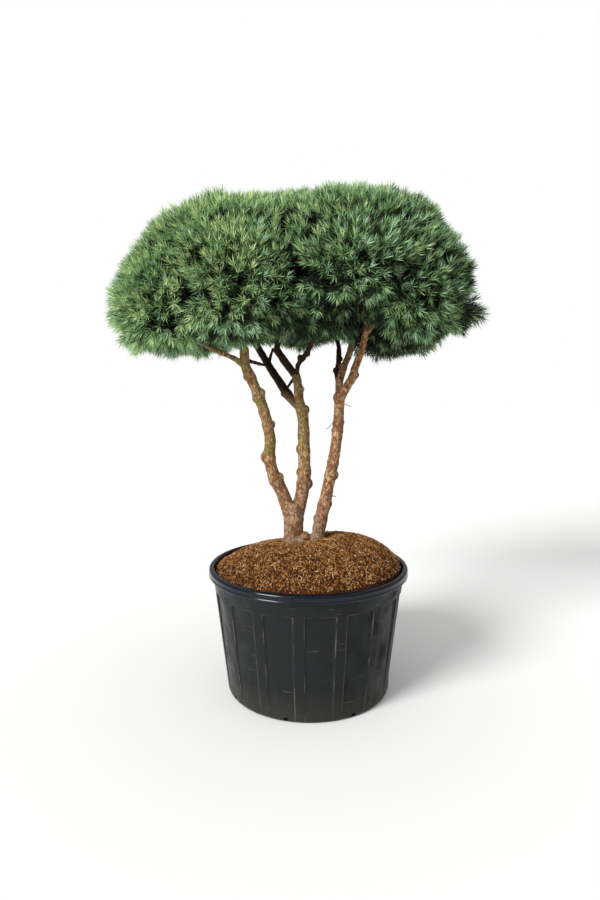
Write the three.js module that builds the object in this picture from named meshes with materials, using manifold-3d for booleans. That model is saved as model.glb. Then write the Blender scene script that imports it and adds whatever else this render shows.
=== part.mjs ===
// A multi-stem Scots pine with a cushion-shaped crown, standing in a large round nursery container.
// Millimetres, +Z up. The origin is the centre of the container's flat underside.
import * as THREE from 'three';
import { mergeVertices } from 'three/addons/utils/BufferGeometryUtils.js';
import Module from 'manifold-3d';

const wasm = await Module();
wasm.setup();

// Container
const potHeight = 575;
const potFootRadius = 366; // edge of the flat underside
const potWallRadiusLow = 380; // outer wall, carried down to the ground
const potDraft = 0.138; // growth of the radius per unit of height
const potCornerHeight = 26;
const potRimRadius = 475;
const potRimHeight = 38;
const potRimLip = 24; // width of the rolled lip seen from above
const potRimEdge = 6;
const potWall = 4.5;
const potFloor = 6;
const potFloorInset = 18; // the floor ends this far inside the wall, at the rounded corner
const potCollarLow = 472; // the ribs end below this smooth collar
const potRibCount = 15;
const potRibHalfAngle = 3.2; // degrees
const potRibShoulder = 1.0; // degrees
const potRibTurn = -96; // degrees, one rib a little left of the front
const potPanelDepth = 6; // the panels between the ribs are this far back
const drainCount = 8;
const drainRadius = 13;
const drainSides = 6;
const drainTurn = -105; // degrees
const drainSlope = 45; // degrees, the holes go through the corner aslant

// Substrate
const seat = 0.3; // clearance kept between pieces that rest on each other
const wallClearance = 0.4; // clearance of the fill from the container's wall
const groundHeight = 642; // flat top of the potting soil, where the stems are cut
const groundPlateau = 140;
const soilEdgeHeight = 530;
const mulchEdgeHeight = 562.5;
const mulchEdgeTilt = 13; // the mulch lies higher at the right edge
const mulchEdgeTurn = -23; // degrees, the direction of that edge
const mulchRise = 136;
const mulchShoulder = 3.6; // exponent of the dome, larger is flatter on top
const mulchShoulderGain = 2.25; // how much flatter it is towards the front
const mulchShoulderTurn = -72; // degrees, that direction
const mulchMinimum = 14; // least depth of mulch over the soil

// Limbs
const limbSides = 9;
const branchSides = 6;
const limbStep = 75; // spacing of the rings along a limb
const limbGap = 0.35; // limbs and foliage that meet are cut this far apart
const barkUnevenness = 0.07; // share of a limb's radius

// Foliage
const coreGap = 9; // the dense inside of a mass stays this far off every limb
const spaceGap = 4; // half of the space left between two neighbouring masses
const fullness = 2.2; // 2 gives an ellipsoid, more a fuller cushion
const valleyBlend = 4.5; // a smaller value fills the valleys between the masses more
const valleyStep = 0.02;
const valleyMost = 1.3; // no shoot stands further out than this share of its mass's reach
const coreDepth = 84; // needles stand out this far beyond the dense inside
const coreDetail = 1;
const coreLumps = 0.14; // unevenness of the dense inside, as a share of its size
const coreLeast = 0.5; // least size of the dense inside, as a share of the reach
const sprayWidth = 62; // radius of the ring of needle tips
const sprayNeedles = 4;
const sprayNotch = 0.4; // radius between two needle tips, as a share of the ring's
const twigRadius = 8;
const sprayRoot = 0.75; // where a spray's root sits, as a share of the dense inside
const sprayArea = 6500; // a larger value gives fewer sprays on every mass
const sprayLift = 25; // shoots turn up a little
const crownHeart = [-60, 30, 1830]; // shoots that would grow towards here are bare and left out
const heartward = 0.1; // least cosine of a shoot's direction to the way out from there
const stemRadius = 8; // the stem inside a mass, which meets the tip of its bough
const stemSides = 5;

const toRadians = THREE.MathUtils.degToRad;
const lerp = THREE.MathUtils.lerp;

/** A repeatable source of numbers from 0 to 1. */
function seeded(seed) {
  let state = seed;
  return () => {
    state = (state + 0x6d2b79f5) | 0;
    let mixed = Math.imul(state ^ (state >>> 15), 1 | state);
    mixed = (mixed + Math.imul(mixed ^ (mixed >>> 7), 61 | mixed)) ^ mixed;
    return ((mixed ^ (mixed >>> 14)) >>> 0) / 4294967296;
  };
}

function toSolid(geometry) {
  const bare = geometry.clone();
  bare.deleteAttribute('normal');
  bare.deleteAttribute('uv');
  const merged = mergeVertices(bare, 1e-4);
  return new wasm.Manifold(new wasm.Mesh({
    numProp: 3,
    vertProperties: new Float32Array(merged.attributes.position.array),
    triVerts: new Uint32Array(merged.index.array),
  }));
}

function toGeometry(solid) {
  const mesh = solid.getMesh();
  const geometry = new THREE.BufferGeometry();
  geometry.setAttribute('position', new THREE.BufferAttribute(mesh.vertProperties, 3));
  geometry.setIndex(new THREE.BufferAttribute(mesh.triVerts, 1));
  geometry.computeVertexNormals();
  return geometry;
}

/** The largest piece of a solid: loose scraps and sealed hollows are left out. */
function mainPiece(solid) {
  const pieces = solid.decompose();
  return pieces.reduce((best, piece) => (piece.volume() > best.volume() ? piece : best));
}

function surface(points, triangles) {
  const geometry = new THREE.BufferGeometry();
  const positions = points.flatMap((point) => [point.x, point.y, point.z]);
  geometry.setAttribute('position', new THREE.Float32BufferAttribute(positions, 3));
  geometry.setIndex(triangles);
  return geometry;
}

/** A closed skin through rings of equally many points, with a fan over each end. */
function loft(rings) {
  const count = rings[0].length;
  const points = rings.flat();
  const triangles = [];
  const centreOf = (ring) => ring.reduce((sum, p) => sum.add(p), new THREE.Vector3()).divideScalar(count);
  const first = points.push(centreOf(rings[0])) - 1;
  const last = points.push(centreOf(rings.at(-1))) - 1;
  const top = (rings.length - 1) * count;
  for (let j = 0; j < count; j += 1) {
    const k = (j + 1) % count;
    triangles.push(first, k, j, last, top + j, top + k);
    for (let i = 0; i < rings.length - 1; i += 1) {
      const low = i * count;
      const high = low + count;
      triangles.push(low + j, low + k, high + k, low + j, high + k, high + j);
    }
  }
  return surface(points, triangles);
}

function polar(radius, angle, z) {
  return new THREE.Vector3(radius * Math.cos(angle), radius * Math.sin(angle), z);
}

// Container: one moulded shell with ribs, a rolled rim and drain holes at its corner

const nominalRadius = (z) => potWallRadiusLow + potDraft * z;
const innerRadius = (z) => nominalRadius(z) - potPanelDepth - potWall;

/** Angles round the container, each with 1 on a rib and 0 on the panels between. */
function ribAngles() {
  const pitch = 360 / potRibCount;
  const marks = [
    [-potRibHalfAngle - potRibShoulder, 0],
    [-potRibHalfAngle, 1],
    [potRibHalfAngle, 1],
    [potRibHalfAngle + potRibShoulder, 0],
    [pitch / 2, 0],
  ];
  const angles = [];
  for (let rib = 0; rib < potRibCount; rib += 1) {
    for (const [offset, raised] of marks) {
      angles.push({ angle: toRadians(potRibTurn + rib * pitch + offset), raised });
    }
  }
  return angles;
}

function container() {
  const rimLow = potHeight - potRimHeight;
  const underRim = nominalRadius(rimLow);
  const lipInside = potRimRadius - potRimLip;
  // radius, height, depth of the panels there
  const rows = [
    [potFootRadius, 0, 0],
    [nominalRadius(potCornerHeight) - 4, potCornerHeight * 0.6, 0],
    [nominalRadius(potCornerHeight * 2.2), potCornerHeight * 2.2, potPanelDepth * 0.5],
    [nominalRadius(potCollarLow - 6), potCollarLow - 6, potPanelDepth],
    [nominalRadius(potCollarLow), potCollarLow, 0],
    [underRim, rimLow, 0],
    [potRimRadius, rimLow + potRimEdge, 0],
    [potRimRadius, potHeight - potRimEdge, 0],
    [potRimRadius - potRimEdge, potHeight, 0],
    [lipInside, potHeight, 0],
    [innerRadius(rimLow), rimLow, 0],
    [innerRadius(potCornerHeight), potCornerHeight, 0],
    [innerRadius(0) - potFloorInset, potFloor, 0],
  ];
  const angles = ribAngles();
  const rings = rows.map(([radius, z, depth]) => angles.map(
    ({ angle, raised }) => polar(radius - depth * (1 - raised), angle, z),
  ));
  let shell = toSolid(loft(rings));
  for (let hole = 0; hole < drainCount; hole += 1) {
    const angle = toRadians(drainTurn + (hole * 360) / drainCount);
    const drill = new THREE.CylinderGeometry(drainRadius, drainRadius, potCornerHeight * 1.5, drainSides);
    drill.rotateX(Math.PI / 2);
    drill.rotateX(toRadians(drainSlope));
    drill.rotateZ(angle + Math.PI / 2);
    const place = polar(potFootRadius + 6, angle, potCornerHeight * 0.3);
    shell = shell.subtract(toSolid(drill.translate(place.x, place.y, place.z)));
  }
  return mainPiece(shell);
}

// Potting soil and the mulch mound on it share their rings, so their faces run parallel

function moundEdge(angle) {
  return mulchEdgeHeight + mulchEdgeTilt * Math.cos(angle - toRadians(mulchEdgeTurn));
}

function mulchHeight(share, angle) {
  const exponent = mulchShoulder + mulchShoulderGain * Math.cos(angle - toRadians(mulchShoulderTurn));
  return moundEdge(angle) + mulchRise * (1 - share ** exponent);
}

function soilHeight(share, angle) {
  const edge = innerRadius(soilEdgeHeight);
  if (share * edge <= groundPlateau) {
    return groundHeight;
  }
  const slope = lerp(soilEdgeHeight, groundHeight, (1 - share) / (1 - groundPlateau / edge));
  return Math.min(slope, mulchHeight(share, angle) - mulchMinimum);
}

function moundRings(heightAt, shares, lift) {
  const angles = ribAngles().filter((mark, index) => index % 2 === 0);
  const edge = innerRadius(soilEdgeHeight) - wallClearance;
  return shares.map((share) => angles.map(
    ({ angle }) => polar(edge * share, angle, heightAt(share, angle) + lift),
  ));
}

const moundShares = [1, 0.66, groundPlateau / innerRadius(soilEdgeHeight)];

function pottingSoil() {
  const angles = ribAngles().filter((mark, index) => index % 2 === 0);
  const wallRows = [
    [innerRadius(0) - potFloorInset - 1, potFloor + seat],
    [innerRadius(potCornerHeight) - wallClearance, potCornerHeight + 1],
  ];
  const wall = wallRows.map(([radius, z]) => angles.map(({ angle }) => polar(radius, angle, z)));
  return toSolid(loft([...wall, ...moundRings(soilHeight, moundShares, 0)]));
}

function barkMulch(trunks) {
  const under = moundRings(soilHeight, moundShares, seat).reverse();
  const over = moundRings(mulchHeight, [1, 0.88, ...moundShares.slice(1)], 0);
  const mound = toSolid(loft([...under, ...over]));
  return mainPiece(trunks.reduce((solid, trunk) => solid.subtract(trunk), mound));
}

// Limbs: each is one tapering limb through a few waypoints of x, y, z and radius

const limbs = new Map();

function limbCurve(waypoints) {
  const points = waypoints.map(([x, y, z]) => new THREE.Vector3(x, y, z));
  return new THREE.CatmullRomCurve3(points, false, 'centripetal');
}

function limbRadius(waypoints, curve, share) {
  const spot = curve.getUtoTmapping(share) * (waypoints.length - 1);
  const index = Math.min(Math.floor(spot), waypoints.length - 2);
  return lerp(waypoints[index][3], waypoints[index + 1][3], spot - index);
}

/** The limb as a closed tube, made larger all over by `extra`. */
function limbTube(waypoints, sides, extra, seed) {
  const curve = limbCurve(waypoints);
  const steps = Math.max(2, Math.ceil(curve.getLength() / limbStep));
  const frames = curve.computeFrenetFrames(steps, false);
  const random = seeded(seed);
  const rings = [];
  for (let i = 0; i <= steps; i += 1) {
    const centre = curve.getPointAt(i / steps);
    const along = frames.tangents[i];
    centre.addScaledVector(along, i === 0 ? -extra : 0).addScaledVector(along, i === steps ? extra : 0);
    const radius = limbRadius(waypoints, curve, i / steps);
    const ring = [];
    for (let j = 0; j < sides; j += 1) {
      const angle = (2 * Math.PI * j) / sides;
      const reach = radius * (1 + barkUnevenness * (2 * random() - 1)) + extra;
      const point = centre.clone();
      point.addScaledVector(frames.normals[i], reach * Math.cos(angle));
      point.addScaledVector(frames.binormals[i], reach * Math.sin(angle));
      ring.push(point);
    }
    rings.push(ring);
  }
  return toSolid(loft(rings));
}

/** Adds a limb, cut clear of the limbs that it springs from. */
function addLimb(name, waypoints, sides) {
  const seed = limbs.size + 1;
  let solid = limbTube(waypoints, sides, 0, seed);
  for (const other of limbs.values()) {
    solid = solid.subtract(other.grown);
  }
  limbs.set(name, {
    curve: limbCurve(waypoints),
    waypoints,
    solid: mainPiece(solid),
    grown: limbTube(waypoints, sides, limbGap, seed),
    cleared: limbTube(waypoints, sides, coreGap, seed),
  });
}

/** A point on a limb's centre line as a waypoint, at a share of its length. */
function springsFrom(name, share, radius) {
  const point = limbs.get(name).curve.getPointAt(share);
  return [point.x, point.y, point.z, radius];
}

// Everything above this box's lower face stays: the stems are cut flat where they meet the ground
const underground = new THREE.BoxGeometry(2 * groundPlateau, 2 * groundPlateau, groundPlateau);
underground.translate(0, 0, groundHeight + seat - groundPlateau / 2);

function cutAtGround(name) {
  const limb = limbs.get(name);
  limb.solid = limb.solid.subtract(toSolid(underground));
}

addLimb('trunk_left', [
  [-68, -20, 600, 58],
  [-70, -20, 660, 49],
  [-70, -18, 735, 47],
  [-70, -15, 800, 46],
  [-72, -12, 866, 43],
], limbSides + 1);
addLimb('trunk_right', [
  [34, -30, 600, 40],
  [40, -30, 665, 33],
  [50, -30, 740, 31],
  [90, -30, 925, 28],
  [130, -30, 1135, 25.5],
  [145, -26, 1275, 24.5],
  [150, -22, 1392, 22],
], limbSides);
cutAtGround('trunk_left');
cutAtGround('trunk_right');
addLimb('stem_left', [
  [-88, -17, 812, 35],
  [-118, -25, 900, 31],
  [-170, -44, 1020, 28],
  [-186, -56, 1095, 27],
  [-181, -68, 1180, 25.5],
  [-210, -95, 1315, 24],
  [-260, -125, 1450, 23],
  [-292, -142, 1525, 22.5],
  [-295, -158, 1605, 20.5],
], limbSides);
addLimb('stem_centre', [
  [-54, -10, 812, 35],
  [-36, -8, 885, 32],
  [-20, -3, 985, 31],
  [-21, 7, 1140, 28],
  [-27, 16, 1280, 26.5],
  [-44, 22, 1365, 23],
  [-48, 26, 1420, 20.5],
  [-60, 30, 1485, 20],
], limbSides);
addLimb('bough_back', [
  springsFrom('stem_centre', 0.74, 19),
  [-98, 70, 1382, 22],
  [-145, 112, 1450, 20],
  [-190, 160, 1515, 19],
  [-262, 226, 1632, 17],
], branchSides);
addLimb('bough_centre_left', [
  springsFrom('stem_centre', 0.98, 17),
  [-92, 42, 1518, 19],
  [-125, 55, 1562, 18.5],
  [-158, 70, 1610, 17],
], branchSides);
addLimb('bough_centre_right', [
  springsFrom('stem_centre', 0.97, 11),
  [-48, 14, 1532, 12],
  [-18, 0, 1572, 11],
  [5, -20, 1612, 10.5],
  [20, -40, 1655, 9.5],
], branchSides);
addLimb('bough_left_low', [
  springsFrom('stem_left', 0.87, 12),
  [-332, -160, 1550, 11.5],
  [-378, -185, 1572, 10.5],
  [-450, -200, 1604, 9.5],
  [-560, -170, 1668, 8.5],
], branchSides);
addLimb('bough_right_front', [
  springsFrom('trunk_right', 0.96, 20),
  [180, -30, 1418, 20],
  [210, -40, 1470, 19],
  [225, -50, 1522, 17.5],
  [250, -65, 1592, 16],
  [265, -80, 1660, 15],
  [270, -95, 1740, 13.5],
  [268, -118, 1870, 12],
], branchSides);
addLimb('bough_right_back', [
  springsFrom('trunk_right', 0.97, 17),
  [151, -4, 1452, 18.5],
  [175, 20, 1522, 15.8],
  [205, 50, 1595, 15],
  [228, 100, 1700, 13.5],
  [280, 215, 1880, 12],
], branchSides);
addLimb('bough_right_inner', [
  springsFrom('bough_right_back', 0.08, 13),
  [141, 24, 1495, 12.5],
  [150, 52, 1556, 12],
  [148, 120, 1650, 11],
  [85, 250, 1725, 10],
], branchSides);

// Foliage: centre and reach of each mass, the limb that bears it, and how far along that limb its
// branch starts. `by` is a point that the branch passes on its way.
const masses = {
  foliage_left_top: {
    centre: [-370, -60, 2096], reach: [348, 340, 225], bough: 'stem_left', start: 0.97, radius: 15,
  },
  foliage_left_side: {
    centre: [-645, -20, 1908], reach: [223, 310, 241], bough: 'stem_left', start: 0.985, radius: 13,
    by: [-470, -85, 1815],
  },
  foliage_left_low: {
    centre: [-648, -120, 1777], reach: [257, 305, 196], bough: 'bough_left_low', start: 1,
  },
  foliage_left_front: {
    centre: [-304, -280, 1872], reach: [260, 270, 268], bough: 'stem_left', start: 0.99, radius: 13,
  },
  foliage_back_left_top: {
    centre: [-420, 330, 2068], reach: [330, 300, 232], bough: 'bough_back', start: 0.9, radius: 14,
    by: [-330, 275, 1790],
  },
  foliage_back_left_low: {
    centre: [-568, 400, 1783], reach: [281, 290, 184], bough: 'bough_back', start: 1,
  },
  foliage_middle_top: {
    centre: [-61, 80, 2125], reach: [227, 290, 232], bough: 'bough_centre_left', start: 0.97, radius: 14,
    by: [-130, 78, 1800],
  },
  foliage_middle_low: {
    centre: [45, -110, 1803], reach: [225, 285, 163], bough: 'bough_centre_right', start: 1,
  },
  foliage_back_middle: {
    centre: [-66, 450, 1835], reach: [269, 260, 200], bough: 'bough_right_inner', start: 1,
  },
  foliage_right_top: {
    centre: [240, -140, 2092], reach: [352, 345, 249], bough: 'bough_right_front', start: 1,
  },
  foliage_right_side: {
    centre: [538, -70, 1916], reach: [203, 315, 234], bough: 'bough_right_front', start: 0.79, radius: 12,
    by: [385, -75, 1830],
  },
  foliage_right_front: {
    centre: [190, -345, 1940], reach: [240, 265, 190], bough: 'bough_right_front', start: 0.88,
    radius: 10, by: [235, -185, 1850],
  },
  foliage_right_low: {
    centre: [458, -215, 1828], reach: [209, 265, 192], bough: 'bough_right_front', start: 0.62, radius: 11,
    by: [350, -125, 1745],
  },
  foliage_right_tip: {
    centre: [665, -75, 1794], reach: [160, 190, 90], bough: 'bough_right_front', start: 0.7, radius: 9,
    by: [455, -40, 1760],
  },
  foliage_right_under: {
    centre: [405, 160, 1687], reach: [235, 240, 110], bough: 'bough_right_back', start: 0.6, radius: 10,
  },
  foliage_back_right_top: {
    centre: [335, 300, 2104], reach: [322, 305, 248], bough: 'bough_right_back', start: 1,
  },
  foliage_back_right_low: {
    centre: [512, 420, 1839], reach: [273, 270, 187], bough: 'bough_right_back', start: 0.72, radius: 10,
    by: [345, 262, 1775],
  },
};

const vector = (values) => new THREE.Vector3(...values);

/** How far a mass reaches from its centre in a direction. */
function edgeOf(mass, direction) {
  const sum = mass.reach.reduce(
    (total, reach, axis) => total + Math.abs(direction.getComponent(axis) / reach) ** fullness,
    0,
  );
  return sum ** (-1 / fullness);
}

/** 1 on a mass's own edge, less inside it and more outside. */
function gaugeOf(mass, point) {
  const span = point.clone().sub(vector(mass.centre));
  return span.length() / edgeOf(mass, span.clone().normalize());
}

/** How far the crown reaches from a mass's centre in a direction, with the valleys between masses filled. */
function skinOf(mass, direction) {
  const edge = edgeOf(mass, direction);
  const nearness = (total, gauge) => total + Math.exp(valleyBlend * (1 - gauge));
  let share = 1;
  while (share + valleyStep < valleyMost) {
    const point = vector(mass.centre).addScaledVector(direction, edge * (share + valleyStep));
    if (Object.values(masses).map((other) => gaugeOf(other, point)).reduce(nearness, 0) < 1) {
      break;
    }
    share += valleyStep;
  }
  return edge * share;
}

/** How far its dense inside reaches in a direction. */
function coreEdgeOf(mass, direction) {
  const edge = edgeOf(mass, direction);
  return Math.max(edge * coreLeast, edge - coreDepth);
}

/** Planes that part a mass's space from its neighbours': points inside lie below every offset. */
function spacePlanes(name) {
  const centre = vector(masses[name].centre);
  return Object.keys(masses).filter((other) => other !== name).map((other) => {
    const span = vector(masses[other].centre).sub(centre);
    const normal = span.clone().normalize();
    const own = edgeOf(masses[name], normal);
    const theirs = edgeOf(masses[other], normal);
    const offset = normal.dot(centre) + (span.length() * own) / (own + theirs) - spaceGap;
    return { normal, offset };
  });
}

const within = (point, planes) => planes.every(({ normal, offset }) => normal.dot(point) <= offset);

/** Moves a point towards its anchor until it lies in the space, `share` of the way or less. */
function heldIn(point, anchor, planes, most = 1) {
  let share = most;
  for (const { normal, offset } of planes) {
    const high = normal.dot(point);
    const low = normal.dot(anchor);
    if (high > offset) {
      share = Math.min(share, (most * (offset - low)) / (high - low));
    }
  }
  return anchor.clone().lerp(point, share);
}

function nearLimb(point, clearance) {
  return [...limbs.values()].some(({ samples }) => samples.some(
    ([x, y, z, radius]) => Math.hypot(point.x - x, point.y - y, point.z - z) < radius + clearance,
  ));
}

/** The k-th of `count` directions spread evenly over a ball. */
function evenDirection(k, count) {
  const z = 1 - (2 * (k + 0.5)) / count;
  const angle = k * Math.PI * (3 - Math.sqrt(5));
  const flat = Math.sqrt(1 - z * z);
  return new THREE.Vector3(flat * Math.cos(angle), flat * Math.sin(angle), z);
}

/** The dense inside of a mass: a lumpy ball, flattened where its space ends. */
function denseInside(mass, planes, random) {
  const centre = vector(mass.centre);
  const ball = mergeVertices(bareBall(), 1e-4);
  const position = ball.attributes.position;
  for (let i = 0; i < position.count; i += 1) {
    const direction = new THREE.Vector3().fromBufferAttribute(position, i).normalize();
    const length = coreEdgeOf(mass, direction) * (1 + coreLumps * (random() - 0.5));
    const point = heldIn(centre.clone().addScaledVector(direction, length), centre, planes);
    position.setXYZ(i, point.x, point.y, point.z);
  }
  return toSolid(ball);
}

function bareBall() {
  const ball = new THREE.IcosahedronGeometry(1, coreDetail);
  ball.deleteAttribute('normal');
  ball.deleteAttribute('uv');
  return ball;
}

/** One shoot: a three-sided twig that opens into a ring of needle tips round its own tip. */
function spray(root, tip, planes, random) {
  const axis = tip.clone().sub(root);
  const along = axis.clone().normalize();
  const across = new THREE.Vector3(0, 0, 1).cross(along);
  if (across.length() < 0.1) {
    across.set(1, 0, 0);
  }
  across.normalize();
  const up = along.clone().cross(across);
  const turn = random() * Math.PI;
  const ringPoint = (share, radius, angle) => {
    const anchor = root.clone().addScaledVector(axis, share);
    const point = anchor.clone().addScaledVector(across, radius * Math.cos(angle + turn));
    point.addScaledVector(up, radius * Math.sin(angle + turn));
    return heldIn(point, anchor, planes, 0.9 + 0.1 * random());
  };
  const count = sprayNeedles * 2;
  const points = [];
  for (let i = 0; i < 3; i += 1) {
    points.push(ringPoint(0, twigRadius, (2 * Math.PI * i) / 3));
  }
  for (let j = 0; j < count; j += 1) {
    const isTip = j % 2 === 0;
    const radius = (isTip ? sprayWidth : sprayWidth * sprayNotch) * (0.85 + 0.3 * random());
    points.push(ringPoint(isTip ? 0.86 + 0.1 * random() : 0.7, radius, (2 * Math.PI * j) / count));
  }
  const apex = points.push(tip.clone()) - 1;
  const triangles = [0, 2, 1];
  for (let j = 0; j < count; j += 1) {
    const next = (j + 1) % count;
    const below = Math.floor((j * 3) / count);
    const nextBelow = Math.floor((next * 3) / count);
    triangles.push(below, 3 + next, 3 + j, apex, 3 + j, 3 + next);
    if (nextBelow !== below) {
      triangles.push(below, nextBelow, 3 + next);
    }
  }
  return toSolid(surface(points, triangles));
}

function foliage(name, seed) {
  const mass = masses[name];
  const random = seeded(seed);
  const planes = spacePlanes(name);
  const centre = vector(mass.centre);
  const [rx, ry, rz] = mass.reach;
  const dense = denseInside(mass, planes, random);
  const cleared = [...limbs.values()].reduce((solid, limb) => solid.subtract(limb.cleared), dense);
  const tip = mass.bearer.curve.getPointAt(1);
  const along = mass.bearer.curve.getTangentAt(1);
  const stem = limbTube([
    [...tip.clone().addScaledVector(along, -1), stemRadius * 0.75],
    [...tip.clone().addScaledVector(along, 2 * stemRadius), stemRadius * 0.75],
    [...tip.clone().lerp(centre, 0.7), stemRadius],
  ], stemSides, 0, seed);
  let solid = mainPiece(cleared).add(stem);
  const count = Math.round((rx * ry + ry * rz + rz * rx) / sprayArea);
  for (let k = 0; k < count; k += 1) {
    const jitter = vector([random(), random(), random()]).subScalar(0.5).multiplyScalar(0.25);
    const direction = evenDirection(k, count).add(jitter).normalize();
    const length = skinOf(mass, direction) * (0.97 + 0.06 * random());
    const end = centre.clone().addScaledVector(direction, length);
    const root = centre.clone().addScaledVector(direction, coreEdgeOf(mass, direction) * sprayRoot);
    root.z -= sprayLift * random();
    const middle = root.clone().lerp(end, 0.75);
    const clear = [middle, end].every((point) => !nearLimb(point, sprayWidth * 0.8));
    const outside = direction.dot(end.clone().sub(vector(crownHeart)).normalize()) > heartward;
    if (outside && clear && within(end, planes) && within(root, planes)) {
      solid = solid.add(spray(root, end, planes, random));
    }
  }
  const trimmed = [...limbs.values()].reduce((rest, limb) => rest.subtract(limb.grown), solid);
  return mainPiece(trimmed);
}

/** Where a bough ends: at the edge of the mass's dense inside, on the way to its centre. */
function entryOf(mass, from) {
  const centre = vector(mass.centre);
  const outward = from.clone().sub(centre).normalize();
  return centre.addScaledVector(outward, coreEdgeOf(mass, outward) + coreGap);
}

for (const [name, mass] of Object.entries(masses)) {
  if (mass.start < 1) {
    const start = springsFrom(mass.bough, mass.start, mass.radius);
    const via = vector(mass.by ?? start.slice(0, 3));
    const entry = entryOf(mass, via);
    const middle = mass.by ?? via.clone().lerp(entry, 0.5).toArray();
    const branch = name.replace('foliage', 'branch');
    const waypoints = [start, [...middle, mass.radius * 0.85], [...entry, mass.radius * 0.75]];
    addLimb(branch, waypoints, branchSides);
    mass.bearer = limbs.get(branch);
  } else {
    mass.bearer = limbs.get(mass.bough);
  }
}

for (const limb of limbs.values()) {
  limb.samples = limb.curve.getSpacedPoints(24).map((point, i) => [
    ...point, limbRadius(limb.waypoints, limb.curve, i / 24),
  ]);
}

const bark = { color: 0xa9794f, roughness: 0.9, metalness: 0 };
const shadedBark = { color: 0x4a3526, roughness: 0.92, metalness: 0 };
const needles = { color: 0x4f7a4c, roughness: 0.7, metalness: 0 };
const shadedLimbs = ['bough_back', 'bough_centre_left', 'bough_centre_right', 'bough_right_inner'];

const part = new THREE.Group();

function addPiece(name, solid, finish) {
  const mesh = new THREE.Mesh(
    toGeometry(solid),
    new THREE.MeshStandardMaterial({ ...finish, flatShading: true }),
  );
  mesh.name = name;
  part.add(mesh);
}

addPiece('pot', container(), { color: 0x23272a, roughness: 0.5, metalness: 0 });
addPiece('potting_soil', pottingSoil(), { color: 0x2e2119, roughness: 1, metalness: 0 });
addPiece(
  'bark_mulch',
  barkMulch([limbs.get('trunk_left').cleared, limbs.get('trunk_right').cleared]),
  { color: 0x7a4626, roughness: 1, metalness: 0 },
);
for (const [name, limb] of limbs) {
  addPiece(name, limb.solid, shadedLimbs.includes(name) ? shadedBark : bark);
}
Object.keys(masses).forEach((name, index) => {
  addPiece(name, foliage(name, index + 101), needles);
});

export default part;
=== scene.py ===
"""A multi-stem Scots pine with a cushion-shaped crown in a large round nursery container.

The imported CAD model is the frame. Everything here is in metres, +Z up, with the origin at the centre
of the container's flat underside, and -Y is the side that faces the viewer. Fields named for a turn,
an angle or a slope are in degrees.
"""

import logging
import math
from dataclasses import dataclass, field
from enum import Enum
from typing import Any, Callable, Iterable, Mapping, Sequence

import bmesh
import bpy
import numpy as np
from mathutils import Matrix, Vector, noise


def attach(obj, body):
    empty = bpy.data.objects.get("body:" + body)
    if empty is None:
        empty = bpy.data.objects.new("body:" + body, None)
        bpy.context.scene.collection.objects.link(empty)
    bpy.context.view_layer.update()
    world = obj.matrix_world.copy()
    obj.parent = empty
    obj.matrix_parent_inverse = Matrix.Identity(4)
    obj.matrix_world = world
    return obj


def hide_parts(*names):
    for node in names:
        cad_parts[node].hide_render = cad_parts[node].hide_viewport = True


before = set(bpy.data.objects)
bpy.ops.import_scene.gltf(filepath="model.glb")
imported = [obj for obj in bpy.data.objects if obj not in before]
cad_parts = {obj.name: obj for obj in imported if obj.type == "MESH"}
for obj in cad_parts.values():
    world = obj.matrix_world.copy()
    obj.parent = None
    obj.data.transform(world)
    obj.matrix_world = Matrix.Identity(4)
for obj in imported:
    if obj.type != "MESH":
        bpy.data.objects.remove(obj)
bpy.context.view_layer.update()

GOLDEN_ANGLE = math.pi * (3 - math.sqrt(5))
UP = np.array([0.0, 0.0, 1.0])
MULCH_SEED = 11
CROWN_SEED = 29
MULCH_FIT = 0.0004  # the mulch keeps this far from the wall
MULCH_FOOT = 0.530  # the height where the mulch meets the wall

log = logging.getLogger("pine")

Colour = tuple[float, float, float, float]
Place = tuple[float, float, float]
Waypoint = tuple[float, float, float, float]


def linear(code: str) -> Colour:
    """Turns an sRGB hex colour into the linear colour that a shader takes.

    Args:
        code: Six hex digits.

    Returns:
        Linear red, green, blue and alpha.
    """
    channels = [int(code[i:i + 2], 16) / 255 for i in (0, 2, 4)]
    red, green, blue = (c / 12.92 if c <= 0.04045 else ((c + 0.055) / 1.055) ** 2.4 for c in channels)
    return red, green, blue, 1.0


def add_node(tree: bpy.types.NodeTree, kind: str, settings: Mapping[str, Any] | None = None,
             inputs: Mapping[str | int, Any] | None = None, out: str | int = 0) -> bpy.types.NodeSocket:
    """Adds one node with its settings and links.

    Args:
        tree: Node tree of a material or of the world.
        kind: Blender's name for the type of node.
        settings: Attributes of the node; "stops" holds the (position, colour) pairs of a colour ramp.
        inputs: A value, or the output socket to link from, for each input by name or number.
        out: Which output is wanted.

    Returns:
        That output socket of the new node.
    """
    node = tree.nodes.new(kind)
    for name, value in (settings or {}).items():
        if name != "stops":
            setattr(node, name, value)
            continue
        elements = node.color_ramp.elements
        elements[0].position, elements[0].color = value[0]
        elements[1].position, elements[1].color = value[-1]
        for position, colour in value[1:-1]:
            elements.new(position).color = colour
    for key, value in (inputs or {}).items():
        if isinstance(value, bpy.types.NodeSocket):
            tree.links.new(value, node.inputs[key])
        else:
            node.inputs[key].default_value = value
    return node.outputs[out]


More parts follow.
